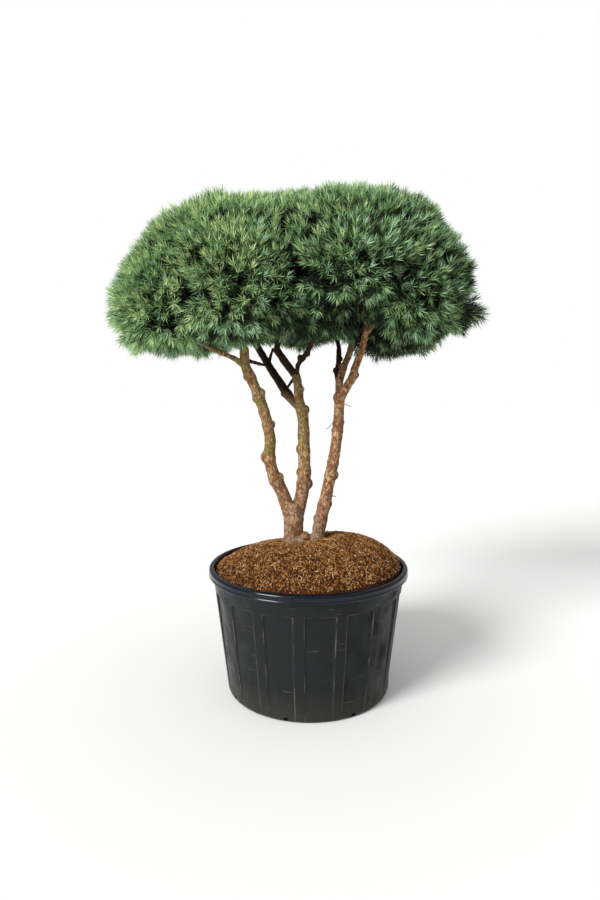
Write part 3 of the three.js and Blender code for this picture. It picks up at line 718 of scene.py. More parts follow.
@dataclass
class Mulch:
    """The mound of shredded bark on the potting soil: a rough bed under thousands of loose fibres."""

    radius: float
    edge_height: float = 0.5625
    edge_tilt: float = 0.013
    edge_turn: float = -23.0
    rise: float = 0.136
    shoulder: float = 3.6
    shoulder_gain: float = 2.25
    shoulder_turn: float = -72.0
    bed_depth: float = 0.012
    fibre_count: int = 32000
    fibre_length: tuple[float, float] = (0.010, 0.027)
    fibre_width: tuple[float, float] = (0.0018, 0.0036)
    trunk_feet: tuple[tuple[float, float, float], ...] = ((-0.070, -0.020, 0.044), (0.041, -0.030, 0.029))
    foot_dip: float = 0.012
    foot_spread: float = 0.07
    long_share: float = 0.04
    long_gain: float = 2.2
    patch_size: float = 0.035
    shares: tuple[float, ...] = (0.17, 0.24, 0.24, 0.18, 0.17)
    bed: LooseGround = LooseGround("bark_fines", "1C0F08", "4A2A16", "7A4A28", 0.011)
    fibre: PlainFinish = PlainFinish(roughness=0.88, specular=0.2)

    def height(self, x: np.ndarray, y: np.ndarray) -> np.ndarray:
        """Finds the mound's height at each place, from the source's rule for its dome.

        Args:
            x: Places across.
            y: Places away from the viewer.

        Returns:
            The heights.
        """
        turn = np.arctan2(y, x)
        share = np.minimum(np.hypot(x, y) / self.radius, 1)
        edge = self.edge_height + self.edge_tilt * np.cos(turn - math.radians(self.edge_turn))
        exponent = self.shoulder + self.shoulder_gain * np.cos(turn - math.radians(self.shoulder_turn))
        dips = (np.exp(-((np.hypot(x - foot_x, y - foot_y) / self.foot_spread) ** 2))
                for foot_x, foot_y, _ in self.trunk_feet)
        return edge + self.rise * (1 - share ** exponent) - self.foot_dip * sum(dips)

    def lay_bed(self) -> bpy.types.Object:
        """Turns the bed as a flat disc and raises it to the mound's shape."""
        rings = 34
        top = [(self.radius * i / rings, 1.0) for i in range(rings + 1)]
        bottom = [(self.radius * i / rings, 0.0) for i in range(rings, -1, -2)]
        bed = turn_profile("mulch_bed", top + bottom, 160)
        for vertex in bed.data.vertices:
            x, y, level = vertex.co
            z = float(self.height(np.array(x), np.array(y)))
            rough = noise.noise(Vector((x, y, 0)) / 0.03) * 0.004
            rough += noise.noise(Vector((x, y, 1)) / 0.009) * 0.003
            vertex.co.z = z + (rough - 0.003 if level > 0.5 else -self.bed_depth)
        smooth(bed)
        bed.data.materials.append(self.bed.material())
        return bed

    def scatter(self, rng: np.random.Generator) -> bpy.types.Object:
        """Strews the fibres: each a flat sliver of six faces, pointed at both ends.

        Args:
            rng: Source of random numbers.

        Returns:
            All the fibres as one piece.
        """
        count = self.fibre_count
        distance = (self.radius - 0.004) * np.sqrt(rng.random(count))
        turn = rng.random(count) * 2 * math.pi
        x, y = distance * np.cos(turn), distance * np.sin(turn)
        clear = np.ones(count, bool)
        for foot_x, foot_y, foot_radius in self.trunk_feet:
            clear &= np.hypot(x - foot_x, y - foot_y) > foot_radius
        x, y, distance = x[clear], y[clear], distance[clear]
        count = len(x)
        step = 0.004
        slope_x = (self.height(x + step, y) - self.height(x - step, y)) / (2 * step)
        slope_y = (self.height(x, y + step) - self.height(x, y - step)) / (2 * step)
        up = unit(np.stack([-slope_x, -slope_y, np.ones(count)], 1))
        across, along = square_to(up)
        spin = rng.random((count, 1)) * 2 * math.pi
        lie = across * np.cos(spin) + along * np.sin(spin)
        lie = unit(lie + up * rng.normal(0, 0.22, (count, 1)))
        side = unit(np.cross(up, lie))
        above = np.cross(lie, side)
        length = rng.uniform(*self.fibre_length, (count, 1)) * rng.uniform(0.6, 1, (count, 1))
        length *= np.where(rng.random((count, 1)) < self.long_share, self.long_gain, 1)
        width = rng.uniform(*self.fibre_width, (count, 1))
        middle = np.stack([x, y, self.height(x, y)], 1) + up * rng.uniform(-0.003, 0.007, (count, 1))
        room = np.maximum(self.radius + 0.002 - distance, 0.006)[:, None] * 2
        length = np.minimum(length, room)
        bow = above * length * rng.normal(0, 0.05, (count, 1))
        points = np.stack([
            middle - lie * length / 2,
            middle + bow + side * width / 2,
            middle + bow - side * width / 2,
            middle + bow + above * width * 0.4,
            middle + lie * length / 2,
        ], 1)
        sliver = np.array([[0, 3, 1], [0, 1, 2], [0, 2, 3], [4, 1, 3], [4, 2, 1], [4, 3, 2]])
        triangles = sliver[None] + 5 * np.arange(count)[:, None, None]
        patch = np.array([noise.noise(Vector(spot) / self.patch_size) for spot in middle])
        share = np.clip(rng.random(count) + 0.3 * patch, 0, 0.999)
        shades = np.searchsorted(np.cumsum(self.shares), share)
        materials = [self.fibre.material(f"bark_fibre_{tone.name.lower()}", tone.value) for tone in Fibre]
        return mesh_from_arrays("mulch_fibres", points.reshape(-1, 3), triangles.reshape(-1, 3),
                                materials, np.repeat(shades, len(sliver)))

    def build(self, rng: np.random.Generator) -> None:
        """Makes the bed and its fibres and puts them in place of the CAD node."""
        hand_over(self.lay_bed(), ["bark_mulch"])
        hand_over(self.scatter(rng), ["bark_mulch"])


def dress_soil() -> None:
    """Gives the potting soil's own solid the look of moist peat."""
    peat = LooseGround("potting_peat", "0E0A07", "241811", "3C2A1C", 0.009)
    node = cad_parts["potting_soil"]
    node.material_slots[0].material = peat.material()
    log.info("potting_soil: dressed as peat")


class Limb:
    """One tapering limb along a smooth curve through its waypoints."""

    spans = 24

    def __init__(self, name: str, waypoints: Sequence[Waypoint]) -> None:
        """Samples the limb's centre line and radius.

        Args:
            name: The CAD node's name.
            waypoints: x, y, z and radius of each point that the limb passes.
        """
        self.name = name
        table = np.array(waypoints, float)
        steps = (len(table) - 1) * self.spans
        place = np.linspace(0, len(table) - 1, steps + 1)
        self.points = self.curve(table[:, :3], place)
        self.radii = np.interp(place, np.arange(len(table)), table[:, 3])
        gaps = np.linalg.norm(np.diff(self.points, axis=0), axis=1)
        self.run = np.concatenate([[0], np.cumsum(gaps)])
        self.length = self.run[-1]

    @staticmethod
    def curve(points: np.ndarray, place: np.ndarray) -> np.ndarray:
        """A centripetal Catmull-Rom curve through points.

        Args:
            points: The points, one in each row.
            place: Where to read the curve, from 0 to the number of the last point.

        Returns:
            The places on the curve.
        """
        ends = 2 * points[0] - points[1], 2 * points[-1] - points[-2]
        run = np.vstack([ends[0], points, ends[1]])
        index = np.minimum(place.astype(int), len(points) - 2)
        share = (place - index)[:, None]
        p0, p1, p2, p3 = (run[index + k] for k in range(4))
        d0, d1, d2 = (
            np.linalg.norm(b - a, axis=1, keepdims=True) ** 0.5 for a, b in ((p0, p1), (p1, p2), (p2, p3)))
        t1 = ((p1 - p0) / d0 - (p2 - p0) / (d0 + d1) + (p2 - p1) / d1) * d1
        t2 = ((p2 - p1) / d1 - (p3 - p1) / (d1 + d2) + (p3 - p2) / d2) * d1
        return (p1 + t1 * share + (3 * (p2 - p1) - 2 * t1 - t2) * share ** 2
                + (2 * (p1 - p2) + t1 + t2) * share ** 3)

    def at(self, share: float) -> np.ndarray:
        """The point at a share of the limb's length."""
        return np.array([np.interp(share * self.length, self.run, self.points[:, k]) for k in range(3)])

    def start_of(self, share: float, radius: float) -> Waypoint:
        """The waypoint from which another limb springs."""
        return (*self.at(share), radius)

    def end_direction(self) -> np.ndarray:
        """The direction in which the limb ends."""
        return unit(self.points[-1] - self.points[-3])

    def samples(self, spacing: float) -> tuple[np.ndarray, np.ndarray]:
        """Evenly spaced points and radii.

        Args:
            spacing: Distance between points.

        Returns:
            The points, one in each row, and their radii.
        """
        run = np.linspace(0, self.length, max(3, math.ceil(self.length / spacing) + 1))
        points = np.stack([np.interp(run, self.run, self.points[:, k]) for k in range(3)], 1)
        return points, np.interp(run, self.run, self.radii)


@dataclass(frozen=True)
class Knot:
    """The collar of a shoot that was pruned off a limb: a swelling with a bump to one side."""

    limb: str
    height: float
    turn: float
    size: float = 1.0


@dataclass(frozen=True)
class DeadTwig:
    """A thin dead twig that stands off a limb."""

    start: Place
    end: Place
    radius: float


KNOTS = (
    Knot("stem_left", 0.970, 200, 1.4), Knot("stem_left", 0.988, -10, 1.5),
    Knot("stem_left", 1.085, 185, 1.8),
    Knot("stem_left", 1.245, 0, 1.3), Knot("stem_left", 1.368, 190, 1.4), Knot("stem_left", 1.389, -15, 1.5),
    Knot("stem_left", 1.470, 170, 1.4), Knot("stem_left", 1.17, 90), Knot("stem_left", 1.31, 60),
    Knot("stem_centre", 0.953, -5, 1.7), Knot("stem_centre", 1.010, 190, 1.2),
    Knot("stem_centre", 1.113, 190, 1.5),
    Knot("stem_centre", 1.303, -5, 1.5), Knot("stem_centre", 1.20, 100), Knot("stem_centre", 1.41, -10),
    Knot("trunk_left", 0.790, -60, 0.8), Knot("trunk_right", 0.789, 190, 1.1),
    Knot("trunk_right", 0.856, 0, 1.3),
    Knot("trunk_right", 1.000, -5, 1.5), Knot("trunk_right", 1.06, 100), Knot("trunk_right", 1.21, 175, 0.8),
    Knot("trunk_right", 1.25, 5, 0.8), Knot("bough_right_front", 1.478, -10, 1.2),
    Knot("bough_right_back", 1.52, 180, 1.2), Knot("bough_back", 1.387, 200, 1.4),
    Knot("bough_centre_right", 1.56, 190, 1.4), Knot("bough_centre_right", 1.58, 0, 1.1),
    Knot("bough_right_inner", 1.50, 180), Knot("bough_right_inner", 1.56, 10, 0.9),
    Knot("trunk_right", 1.365, 185, 1.1),
)
DEAD_TWIGS = (
    DeadTwig((0.141, -0.030, 1.356), (0.204, -0.062, 1.330), 0.0025),
    DeadTwig((0.132, -0.030, 1.268), (0.086, -0.075, 1.224), 0.0025),
    DeadTwig((0.100, -0.030, 0.905), (0.132, -0.050, 0.903), 0.0030),
    DeadTwig((-0.110, 0.080, 1.410), (-0.058, 0.028, 1.482), 0.0085),
    DeadTwig((-0.287, -0.137, 1.548), (-0.195, 0.165, 1.525), 0.0090),
    DeadTwig((-0.200, 0.172, 1.545), (-0.178, 0.182, 1.620), 0.0090),
)


class Exposure(Enum):
    """How a limb stands in the light; the shaded limbs wear a copy of the bark with painted shade."""

    SUNLIT = "bark"
    SHADED = "bark_shaded"


@dataclass
class Wood:
    """Trunks, stems, boughs and branches: fused tubes with collars, lumps and flaking plates."""

    limbs: Mapping[str, Limb]
    voxel: float = 0.0032
    ground: float = 0.6423
    lump_size: float = 0.05
    lump_depth: float = 0.005
    plate_size: float = 0.016
    plate_depth: float = 0.0022
    collar_radius: float = 0.0098
    collar_width: float = 0.016
    collar_swell: float = 0.09
    spacing: float = 0.008
    root_knobs: tuple[Waypoint, ...] = (
        (-0.016, -0.040, 0.712, 0.024), (-0.034, -0.058, 0.698, 0.020), (-0.080, -0.020, 0.690, 0.042),
        (0.032, -0.030, 0.695, 0.034))

    def tube(self, name: str, points: np.ndarray, radii: np.ndarray) -> bpy.types.Object:
        """Sweeps a closed round tube along points.

        Args:
            name: Name of the tube.
            points: The points, one in each row.
            radii: The tube's radius at each.

        Returns:
            The tube.
        """
        deselect()
        bpy.ops.curve.primitive_nurbs_path_add(location=(0, 0, 0))
        piece = bpy.context.object
        piece.name = name
        spline = piece.data.splines[0]
        spline.type = "POLY"
        spline.points.add(len(points) - len(spline.points))
        for spot, place, radius in zip(spline.points, points, radii):
            spot.co = (*place, 1)
            spot.radius = radius
        piece.data.bevel_depth = 1.0
        piece.data.bevel_resolution = 6
        piece.data.use_fill_caps = True
        bpy.ops.object.convert(target="MESH")
        return bpy.context.object

    def swollen(self, limb: Limb) -> tuple[np.ndarray, np.ndarray]:
        """Swells a limb a little at its collars.

        Args:
            limb: The limb.

        Returns:
            Its points, one in each row, and its radii.
        """
        points, radii = limb.samples(self.spacing)
        for knot in KNOTS:
            if knot.limb == limb.name:
                swell = np.exp(-((points[:, 2] - knot.height) / self.collar_width) ** 2)
                radii = radii * (1 + self.collar_swell * knot.size * swell)
        return points, radii

    def collar(self, knot: Knot) -> bpy.types.Object:
        """Makes the bump of one collar, a tall ball half out of the limb's side.

        Args:
            knot: Where the collar is and how large.

        Returns:
            The ball.
        """
        points, radii = self.limbs[knot.limb].samples(self.spacing)
        nearest = int(np.argmin(np.abs(points[:, 2] - knot.height)))
        turn = math.radians(knot.turn)
        outward = np.array([math.cos(turn), math.sin(turn), 0.25])
        place = points[nearest] + outward * radii[nearest] * 0.9
        radius = self.collar_radius * knot.size
        bpy.ops.mesh.primitive_ico_sphere_add(subdivisions=3, radius=radius, location=place)
        bump = bpy.context.object
        bump.scale = (1.0, 1.0, 1.5)
        return bump

    def fuse(self, name: str, names: Sequence[str], extra: Sequence[bpy.types.Object]) -> bpy.types.Object:
        """Fuses limbs into one body with the bark's relief.

        Args:
            name: Name of the new piece.
            names: The limbs' names.
            extra: Further tubes and balls to fuse in.

        Returns:
            The fused body.
        """
        tubes = [self.tube(key, *self.swollen(self.limbs[key])) for key in names]
        collars = [self.collar(knot) for knot in KNOTS if knot.limb in names]
        body = join([*tubes, *collars, *extra], name)
        apply_modifier(body, "REMESH", mode="VOXEL", voxel_size=self.voxel)
        apply_modifier(body, "SMOOTH", factor=0.6, iterations=5)
        lumps = bpy.data.textures.new("lumps", "CLOUDS")
        lumps.noise_scale = self.lump_size
        apply_modifier(body, "DISPLACE", texture=lumps, strength=self.lump_depth, mid_level=0.22)
        plates = bpy.data.textures.new("plates", "VORONOI")
        plates.noise_scale = self.plate_size
        plates.distance_metric = "DISTANCE"
        apply_modifier(body, "DISPLACE", texture=plates, strength=-self.plate_depth, mid_level=0.3)
        return body

    def cut_at_ground(self, body: bpy.types.Object) -> None:
        """Cuts the trunks flat where they meet the soil."""
        activate(body)
        bpy.ops.object.mode_set(mode="EDIT")
        bpy.ops.mesh.select_all(action="SELECT")
        bpy.ops.mesh.bisect(plane_co=(0, 0, self.ground), plane_no=(0, 0, 1), use_fill=True, clear_inner=True)
        bpy.ops.object.mode_set(mode="OBJECT")

    def build(self, shaded: Sequence[str], finishes: Mapping[Exposure, PineBark]) -> None:
        """Makes the wood in the light and the wood in the crown's shade.

        Args:
            shaded: Names of the limbs in the shade.
            finishes: The bark of each.
        """
        knobs = []
        for x, y, z, radius in self.root_knobs:
            bpy.ops.mesh.primitive_ico_sphere_add(subdivisions=3, radius=radius, location=(x, y, z))
            knobs.append(bpy.context.object)
        twigs = [
            self.tube(f"dead_twig_{k}", np.linspace(twig.start, twig.end, 5),
                      np.linspace(1, 0.6, 5) * twig.radius)
            for k, twig in enumerate(DEAD_TWIGS)
        ]
        lit = [name for name in self.limbs if name not in shaded]
        body = self.fuse("bark_in_light", lit, knobs)
        self.cut_at_ground(body)
        # the wood in the crown's shade, whose bark is darkened high up with painted shade
        painted_shade_bark = self.fuse("bark_in_shade", shaded, twigs[3:])
        thin = join(twigs[:3], "dead_twigs")
        for piece, exposure, nodes in ((body, Exposure.SUNLIT, lit), (painted_shade_bark, Exposure.SHADED, shaded),
                                       (thin, Exposure.SUNLIT, ())):
            smooth(piece)
            piece.data.materials.clear()
            piece.data.materials.append(finishes[exposure].material())
            hand_over(piece, nodes)


def springs(limbs: dict[str, Limb]) -> Callable[[str, float, float], Waypoint]:
    """A function that gives the waypoint where a limb springs from an earlier one."""
    return lambda name, share, radius: limbs[name].start_of(share, radius)


def grow_limbs() -> dict[str, Limb]:
    """Grows the trunks, stems and boughs, in the source's order and from its waypoints.

    Returns:
        The limbs by name.
    """
    limbs: dict[str, Limb] = {}
    start = springs(limbs)

    def add(name: str, *waypoints: Waypoint) -> None:
        limbs[name] = Limb(name, waypoints)

    add("trunk_left", (-0.068, -0.020, 0.600, 0.058), (-0.070, -0.020, 0.660, 0.049),
        (-0.070, -0.018, 0.735, 0.047), (-0.070, -0.015, 0.800, 0.046), (-0.072, -0.012, 0.866, 0.043))
    add("trunk_right", (0.034, -0.030, 0.600, 0.040), (0.040, -0.030, 0.665, 0.033),
        (0.050, -0.030, 0.740, 0.031), (0.090, -0.030, 0.925, 0.028), (0.130, -0.030, 1.135, 0.0255),
        (0.145, -0.026, 1.275, 0.0245), (0.150, -0.022, 1.392, 0.022))
    add("stem_left", (-0.088, -0.017, 0.812, 0.035), (-0.118, -0.025, 0.900, 0.031),
        (-0.170, -0.044, 1.020, 0.028), (-0.186, -0.056, 1.095, 0.027), (-0.181, -0.068, 1.180, 0.0255),
        (-0.210, -0.095, 1.315, 0.024), (-0.260, -0.125, 1.450, 0.023), (-0.292, -0.142, 1.525, 0.0225),
        (-0.295, -0.158, 1.605, 0.0205))
    add("stem_centre", (-0.054, -0.010, 0.812, 0.035), (-0.036, -0.008, 0.885, 0.032),
        (-0.020, -0.003, 0.985, 0.031), (-0.021, 0.007, 1.140, 0.028), (-0.027, 0.016, 1.280, 0.0265),
        (-0.044, 0.022, 1.365, 0.023), (-0.048, 0.026, 1.420, 0.0205), (-0.060, 0.030, 1.485, 0.020))
    add("bough_back", start("stem_centre", 0.74, 0.019), (-0.098, 0.070, 1.382, 0.022),
        (-0.145, 0.112, 1.450, 0.020), (-0.190, 0.160, 1.515, 0.019), (-0.262, 0.226, 1.632, 0.017))
    add("bough_centre_left", start("stem_centre", 0.98, 0.017), (-0.092, 0.042, 1.518, 0.019),
        (-0.125, 0.055, 1.562, 0.0185), (-0.158, 0.070, 1.610, 0.017))
    add("bough_centre_right", start("stem_centre", 0.97, 0.011), (-0.048, 0.014, 1.532, 0.012),
        (-0.018, 0.000, 1.572, 0.011), (0.005, -0.020, 1.612, 0.0105), (0.020, -0.040, 1.655, 0.0095))
    add("bough_left_low", start("stem_left", 0.87, 0.012), (-0.332, -0.160, 1.550, 0.0115),
        (-0.378, -0.185, 1.572, 0.0105), (-0.450, -0.200, 1.604, 0.0095), (-0.560, -0.170, 1.668, 0.0085))
    add("bough_right_front", start("trunk_right", 0.96, 0.020), (0.180, -0.030, 1.418, 0.020),
        (0.210, -0.040, 1.470, 0.019), (0.225, -0.050, 1.522, 0.0175), (0.250, -0.065, 1.592, 0.016),
        (0.265, -0.080, 1.660, 0.015), (0.270, -0.095, 1.740, 0.0135), (0.268, -0.118, 1.870, 0.012))
    add("bough_right_back", start("trunk_right", 0.97, 0.017), (0.151, -0.004, 1.452, 0.0185),
        (0.175, 0.020, 1.522, 0.0158), (0.205, 0.050, 1.595, 0.015), (0.228, 0.100, 1.700, 0.0135),
        (0.280, 0.215, 1.880, 0.012))
    add("bough_right_inner", start("bough_right_back", 0.08, 0.013), (0.141, 0.024, 1.495, 0.0125),
        (0.150, 0.052, 1.556, 0.012), (0.148, 0.120, 1.650, 0.011), (0.085, 0.250, 1.725, 0.010))
    return limbs


@dataclass
class Mass:
    """One mass of foliage: where it is, how far it reaches, and the limb that bears it."""

    side: str
    centre: Place
    reach: Place
    bough: str
    start: float = 1.0
    radius: float = 0.0
    by: Place | None = None
    fullness: float = 2.2
    core_depth: float = 0.084
    core_least: float = 0.5
    core_gap: float = 0.009

    @property
    def node(self) -> str:
        """The CAD node's name."""
        return f"foliage_{self.side}"

    @property
    def branch(self) -> str:
        """Name of the branch that carries the mass, if it has one of its own."""
        return f"branch_{self.side}"

    @property
    def area(self) -> float:
        """Sum of the products of its reaches, which the number of shoots goes by."""
        x, y, z = self.reach
        return x * y + y * z + z * x

    def gauge(self, points: np.ndarray) -> np.ndarray:
        """1 on the mass's skin, less inside it and more outside."""
        parts = np.abs((points - np.array(self.centre)) / np.array(self.reach)) ** self.fullness
        return parts.sum(-1) ** (1 / self.fullness)

    def slope(self, points: np.ndarray) -> np.ndarray:
        """The direction and speed in which the gauge grows at each point."""
        scaled = (points - np.array(self.centre)) / np.array(self.reach)
        grown = np.sign(scaled) * np.abs(scaled) ** (self.fullness - 1) / np.array(self.reach)
        return grown * self.gauge(points)[:, None] ** (1 - self.fullness)

    def edge(self, directions: np.ndarray) -> np.ndarray:
        """How far the mass reaches from its centre in each direction."""
        parts = np.abs(directions / np.array(self.reach)) ** self.fullness
        return parts.sum(-1, keepdims=True) ** (-1 / self.fullness)

    def core(self, directions: np.ndarray) -> np.ndarray:
        """How far its dense inside reaches in each direction."""
        edge = self.edge(directions)
        return np.maximum(edge * self.core_least, edge - self.core_depth)

    def grow_branch(self, limbs: dict[str, Limb]) -> Limb:
        """Grows the mass's own branch, if it has one.

        Args:
            limbs: The limbs so far, to which the branch is added.

        Returns:
            The limb that bears the mass.
        """
        if self.start == 1.0:
            return limbs[self.bough]
        first = limbs[self.bough].start_of(self.start, self.radius)
        centre = np.array(self.centre)
        via = np.array(self.by if self.by else first[:3])
        outward = unit(via - centre)
        entry = centre + outward * (self.core(outward) + self.core_gap)
        middle = via if self.by else (via + entry) / 2
        limbs[self.branch] = Limb(self.branch, (
            first, (*middle, self.radius * 0.85), (*entry, self.radius * 0.75)))
        return limbs[self.branch]


def grow_masses() -> list[Mass]:
    """The masses of foliage, in the source's order and from its sizes."""
    return [
        Mass("left_top", (-0.370, -0.060, 2.096), (0.348, 0.340, 0.225), "stem_left", 0.97, 0.015),
        Mass("left_side", (-0.645, -0.020, 1.908), (0.223, 0.310, 0.241), "stem_left", 0.985, 0.013,
             (-0.470, -0.085, 1.815)),
        Mass("left_low", (-0.648, -0.120, 1.777), (0.257, 0.305, 0.196), "bough_left_low"),
        Mass("left_front", (-0.304, -0.280, 1.872), (0.260, 0.270, 0.268), "stem_left", 0.99, 0.013),
        Mass("back_left_top", (-0.420, 0.330, 2.068), (0.330, 0.300, 0.232), "bough_back", 0.9, 0.014,
             (-0.330, 0.275, 1.790)),
        Mass("back_left_low", (-0.568, 0.400, 1.783), (0.281, 0.290, 0.184), "bough_back"),
        Mass("middle_top", (-0.061, 0.080, 2.125), (0.227, 0.290, 0.232), "bough_centre_left", 0.97, 0.014,
             (-0.130, 0.078, 1.800)),
        Mass("middle_low", (0.045, -0.110, 1.803), (0.225, 0.285, 0.163), "bough_centre_right"),
        Mass("back_middle", (-0.066, 0.450, 1.835), (0.269, 0.260, 0.200), "bough_right_inner"),
        Mass("right_top", (0.240, -0.140, 2.092), (0.352, 0.345, 0.249), "bough_right_front"),
        Mass("right_side", (0.538, -0.070, 1.916), (0.203, 0.315, 0.234), "bough_right_front", 0.79, 0.012,
             (0.385, -0.075, 1.830)),
        Mass("right_front", (0.190, -0.345, 1.940), (0.240, 0.265, 0.190), "bough_right_front", 0.88, 0.010,
             (0.235, -0.185, 1.850)),
        Mass("right_low", (0.458, -0.215, 1.828), (0.209, 0.265, 0.192), "bough_right_front", 0.62, 0.011,
             (0.350, -0.125, 1.745)),
        Mass("right_tip", (0.665, -0.075, 1.794), (0.160, 0.190, 0.090), "bough_right_front", 0.7, 0.009,
             (0.455, -0.040, 1.760)),
        Mass("right_under", (0.405, 0.160, 1.687), (0.235, 0.240, 0.110), "bough_right_back", 0.6, 0.010),
        Mass("back_right_top", (0.335, 0.300, 2.104), (0.322, 0.305, 0.248), "bough_right_back"),
        Mass("back_right_low", (0.512, 0.420, 1.839), (0.273, 0.270, 0.187), "bough_right_back", 0.72, 0.010,
             (0.345, 0.262, 1.775)),
    ]


def even_directions(count: int, rng: np.random.Generator, jitter: float) -> np.ndarray:
    """Spreads directions evenly over a ball, each a little off its place.

    Args:
        count: Number of directions.
        rng: Source of random numbers.
        jitter: How far off they may be.

    Returns:
        Unit vectors, one in each row.
    """
    k = np.arange(count)
    z = 1 - (2 * (k + 0.5)) / count
    flat = np.sqrt(1 - z * z)
    even = np.stack([flat * np.cos(k * GOLDEN_ANGLE), flat * np.sin(k * GOLDEN_ANGLE), z], 1)
    return unit(even + (rng.random((count, 3)) - 0.5) * jitter)


def bowed(start: np.ndarray, pull: np.ndarray, end: np.ndarray, rings: int) -> np.ndarray:
    """Curves from starts to ends, each bowed towards its own pulling point."""
    t = np.linspace(0, 1, rings)[None, :, None]
    return (1 - t) ** 2 * start[:, None] + 2 * t * (1 - t) * pull[:, None] + t ** 2 * end[:, None]


def swept(paths: np.ndarray, radii: np.ndarray, sides: int) -> tuple[np.ndarray, np.ndarray]:
    """Sweeps thin closed tubes along many paths at once.

    Args:
        paths: Points, by tube and ring.
        radii: Radius, by tube and ring.
        sides: Sides of each tube.

    Returns:
        Vertices and triangles of all the tubes.
    """
    tubes, rings = paths.shape[:2]
    along = unit(np.gradient(paths, axis=1))
    across, over = square_to(along)
    turn = 2 * math.pi * np.arange(sides) / sides
    reach = radii[:, :, None, None]
    around = across[:, :, None] * np.cos(turn)[:, None] + over[:, :, None] * np.sin(turn)[:, None]
    skin = (paths[:, :, None] + around * reach).reshape(tubes, -1, 3)
    tips = paths[:, -1:] + along[:, -1:] * radii[:, -1:, None]
    feet = paths[:, :1]
    points = np.concatenate([skin, tips, feet], 1)
    faces = []
    for ring in range(rings - 1):
        for side in range(sides):
            low, next_low = ring * sides + side, ring * sides + (side + 1) % sides
            faces += [(low, next_low, next_low + sides), (low, next_low + sides, low + sides)]
    last = (rings - 1) * sides
    for side in range(sides):
        faces.append((last + side, last + (side + 1) % sides, rings * sides))
        faces.append(((side + 1) % sides, side, rings * sides + 1))
    triangles = np.array(faces)[None] + points.shape[1] * np.arange(tubes)[:, None, None]
    return points.reshape(-1, 3), triangles.reshape(-1, 3)


def stacked(parts: Sequence[tuple[np.ndarray, np.ndarray]]) -> tuple[np.ndarray, np.ndarray]:
    """Joins vertices and triangles of several sets into one.

    Args:
        parts: Vertices and triangles of each set.

    Returns:
        Vertices and triangles of them all.
    """
    offsets = np.cumsum([0, *[len(points) for points, _ in parts]])
    points = np.concatenate([points for points, _ in parts])
    return points, np.concatenate([faces + offset for (_, faces), offset in zip(parts, offsets)])


@dataclass
class Shoots:
    """The last year's shoots of one mass: tips, directions and the number of each one's tint."""

    tips: np.ndarray
    directions: np.ndarray
    tints: np.ndarray

    def only(self, chosen: np.ndarray) -> "Shoots":
        """Some of the shoots."""
        return Shoots(self.tips[chosen], self.directions[chosen], self.tints[chosen])


@dataclass
class NeedleCoat:
    """Pairs of needles round a shoot. Each needle is a narrow blade of two faces, bent towards the tip.

    They are larger than life, to fill the crown with fewer of them: a real one is 1 to 2 mm wide."""

    pairs: int = 24
    length: float = 0.059
    width: float = 0.0036
    clothed: float = 0.066
    wide_angle: float = 66.0
    narrow_angle: float = 20.0
    spread: float = 0.20
    bend: float = 0.10
    twist: float = 0.5
    # how far needles further back on the shoot step to darker tints: old needles are duller, and the steps
    # are also painted shade deep in the crown
    ageing_and_shade: float = 4.4
    mixed: float = 0.75

    def grow(self, shoots: "Shoots", rng: np.random.Generator) -> tuple[np.ndarray, np.ndarray, np.ndarray]:
        """Grows the needles of a mass.

        Args:
            shoots: The shoots to clothe.
            rng: Source of random numbers.

        Returns:
            Vertices, triangles and the number of each triangle's tint.
        """
        count = len(shoots.tips)
        age = (np.arange(self.pairs) + rng.random((count, self.pairs))) / self.pairs
        axis = shoots.directions[:, None]
        across, over = square_to(shoots.directions)
        turn = (np.arange(self.pairs) * GOLDEN_ANGLE + rng.random((count, 1)) * 6.3)[..., None]
        radial = across[:, None] * np.cos(turn) + over[:, None] * np.sin(turn)
        angle = self.wide_angle + (self.narrow_angle - self.wide_angle) * age ** 1.2
        angle = np.radians(angle + rng.normal(0, 8, age.shape))[..., None]
        lean = axis * np.cos(angle) + radial * np.sin(angle)
        roots = shoots.tips[:, None] - axis * (self.clothed * (1 - age))[..., None]
        aside = unit(np.cross(lean, rng.normal(size=lean.shape))) * self.spread
        lean = np.stack([unit(lean + aside), unit(lean - aside)], 2)
        roots = np.repeat(roots[:, :, None], 2, 2)
        size = self.length * rng.uniform(0.8, 1.08, (*age.shape, 2, 1))
        size = size * (1 - 0.22 * age[..., None, None] ** 4)
        ends = roots + unit(lean + axis[:, :, None] * self.bend) * size
        middle = roots + lean * size * 0.45
        facing = axis[:, :, None] + UP * 0.6 + rng.normal(0, self.twist, lean.shape)
        blade = unit(np.cross(lean, facing)) * self.width / 2
        points = np.stack([roots, middle + blade, middle - blade, ends], 3).reshape(-1, 3)
        needles = len(points) // 4
        triangles = np.array([[0, 1, 2], [2, 1, 3]])[None] + 4 * np.arange(needles)[:, None, None]
        tints = np.repeat(shoots.tints[:, None], self.pairs, 1)
        darker = {Tint.FRESH: Tint.LEAF, Tint.LEAF: Tint.DEEP, Tint.BLOOM: Tint.DEEP, Tint.DEEP: Tint.DARK,
                  Tint.DARK: Tint.INSIDE}
        order = list(Tint)
        older_and_shaded = np.array([order.index(darker.get(tint, tint)) for tint in order])
        # older needles step to darker tints: partly real dulling with age, partly painted shade deep in the
        # crown
        steps = self.ageing_and_shade * (1 - age) ** 1.3 + rng.normal(0, self.mixed, age.shape)
        for step in range(4):
            tints = np.where(steps > step + 0.5, older_and_shaded[tints], tints)
        withered = (rng.random(age.shape) < 0.012) & (age < 0.5)
        tints = np.where(withered, order.index(Tint.WITHERED), tints)
        return points, triangles.reshape(-1, 3), np.repeat(tints.ravel(), 4)  # two needles of two faces


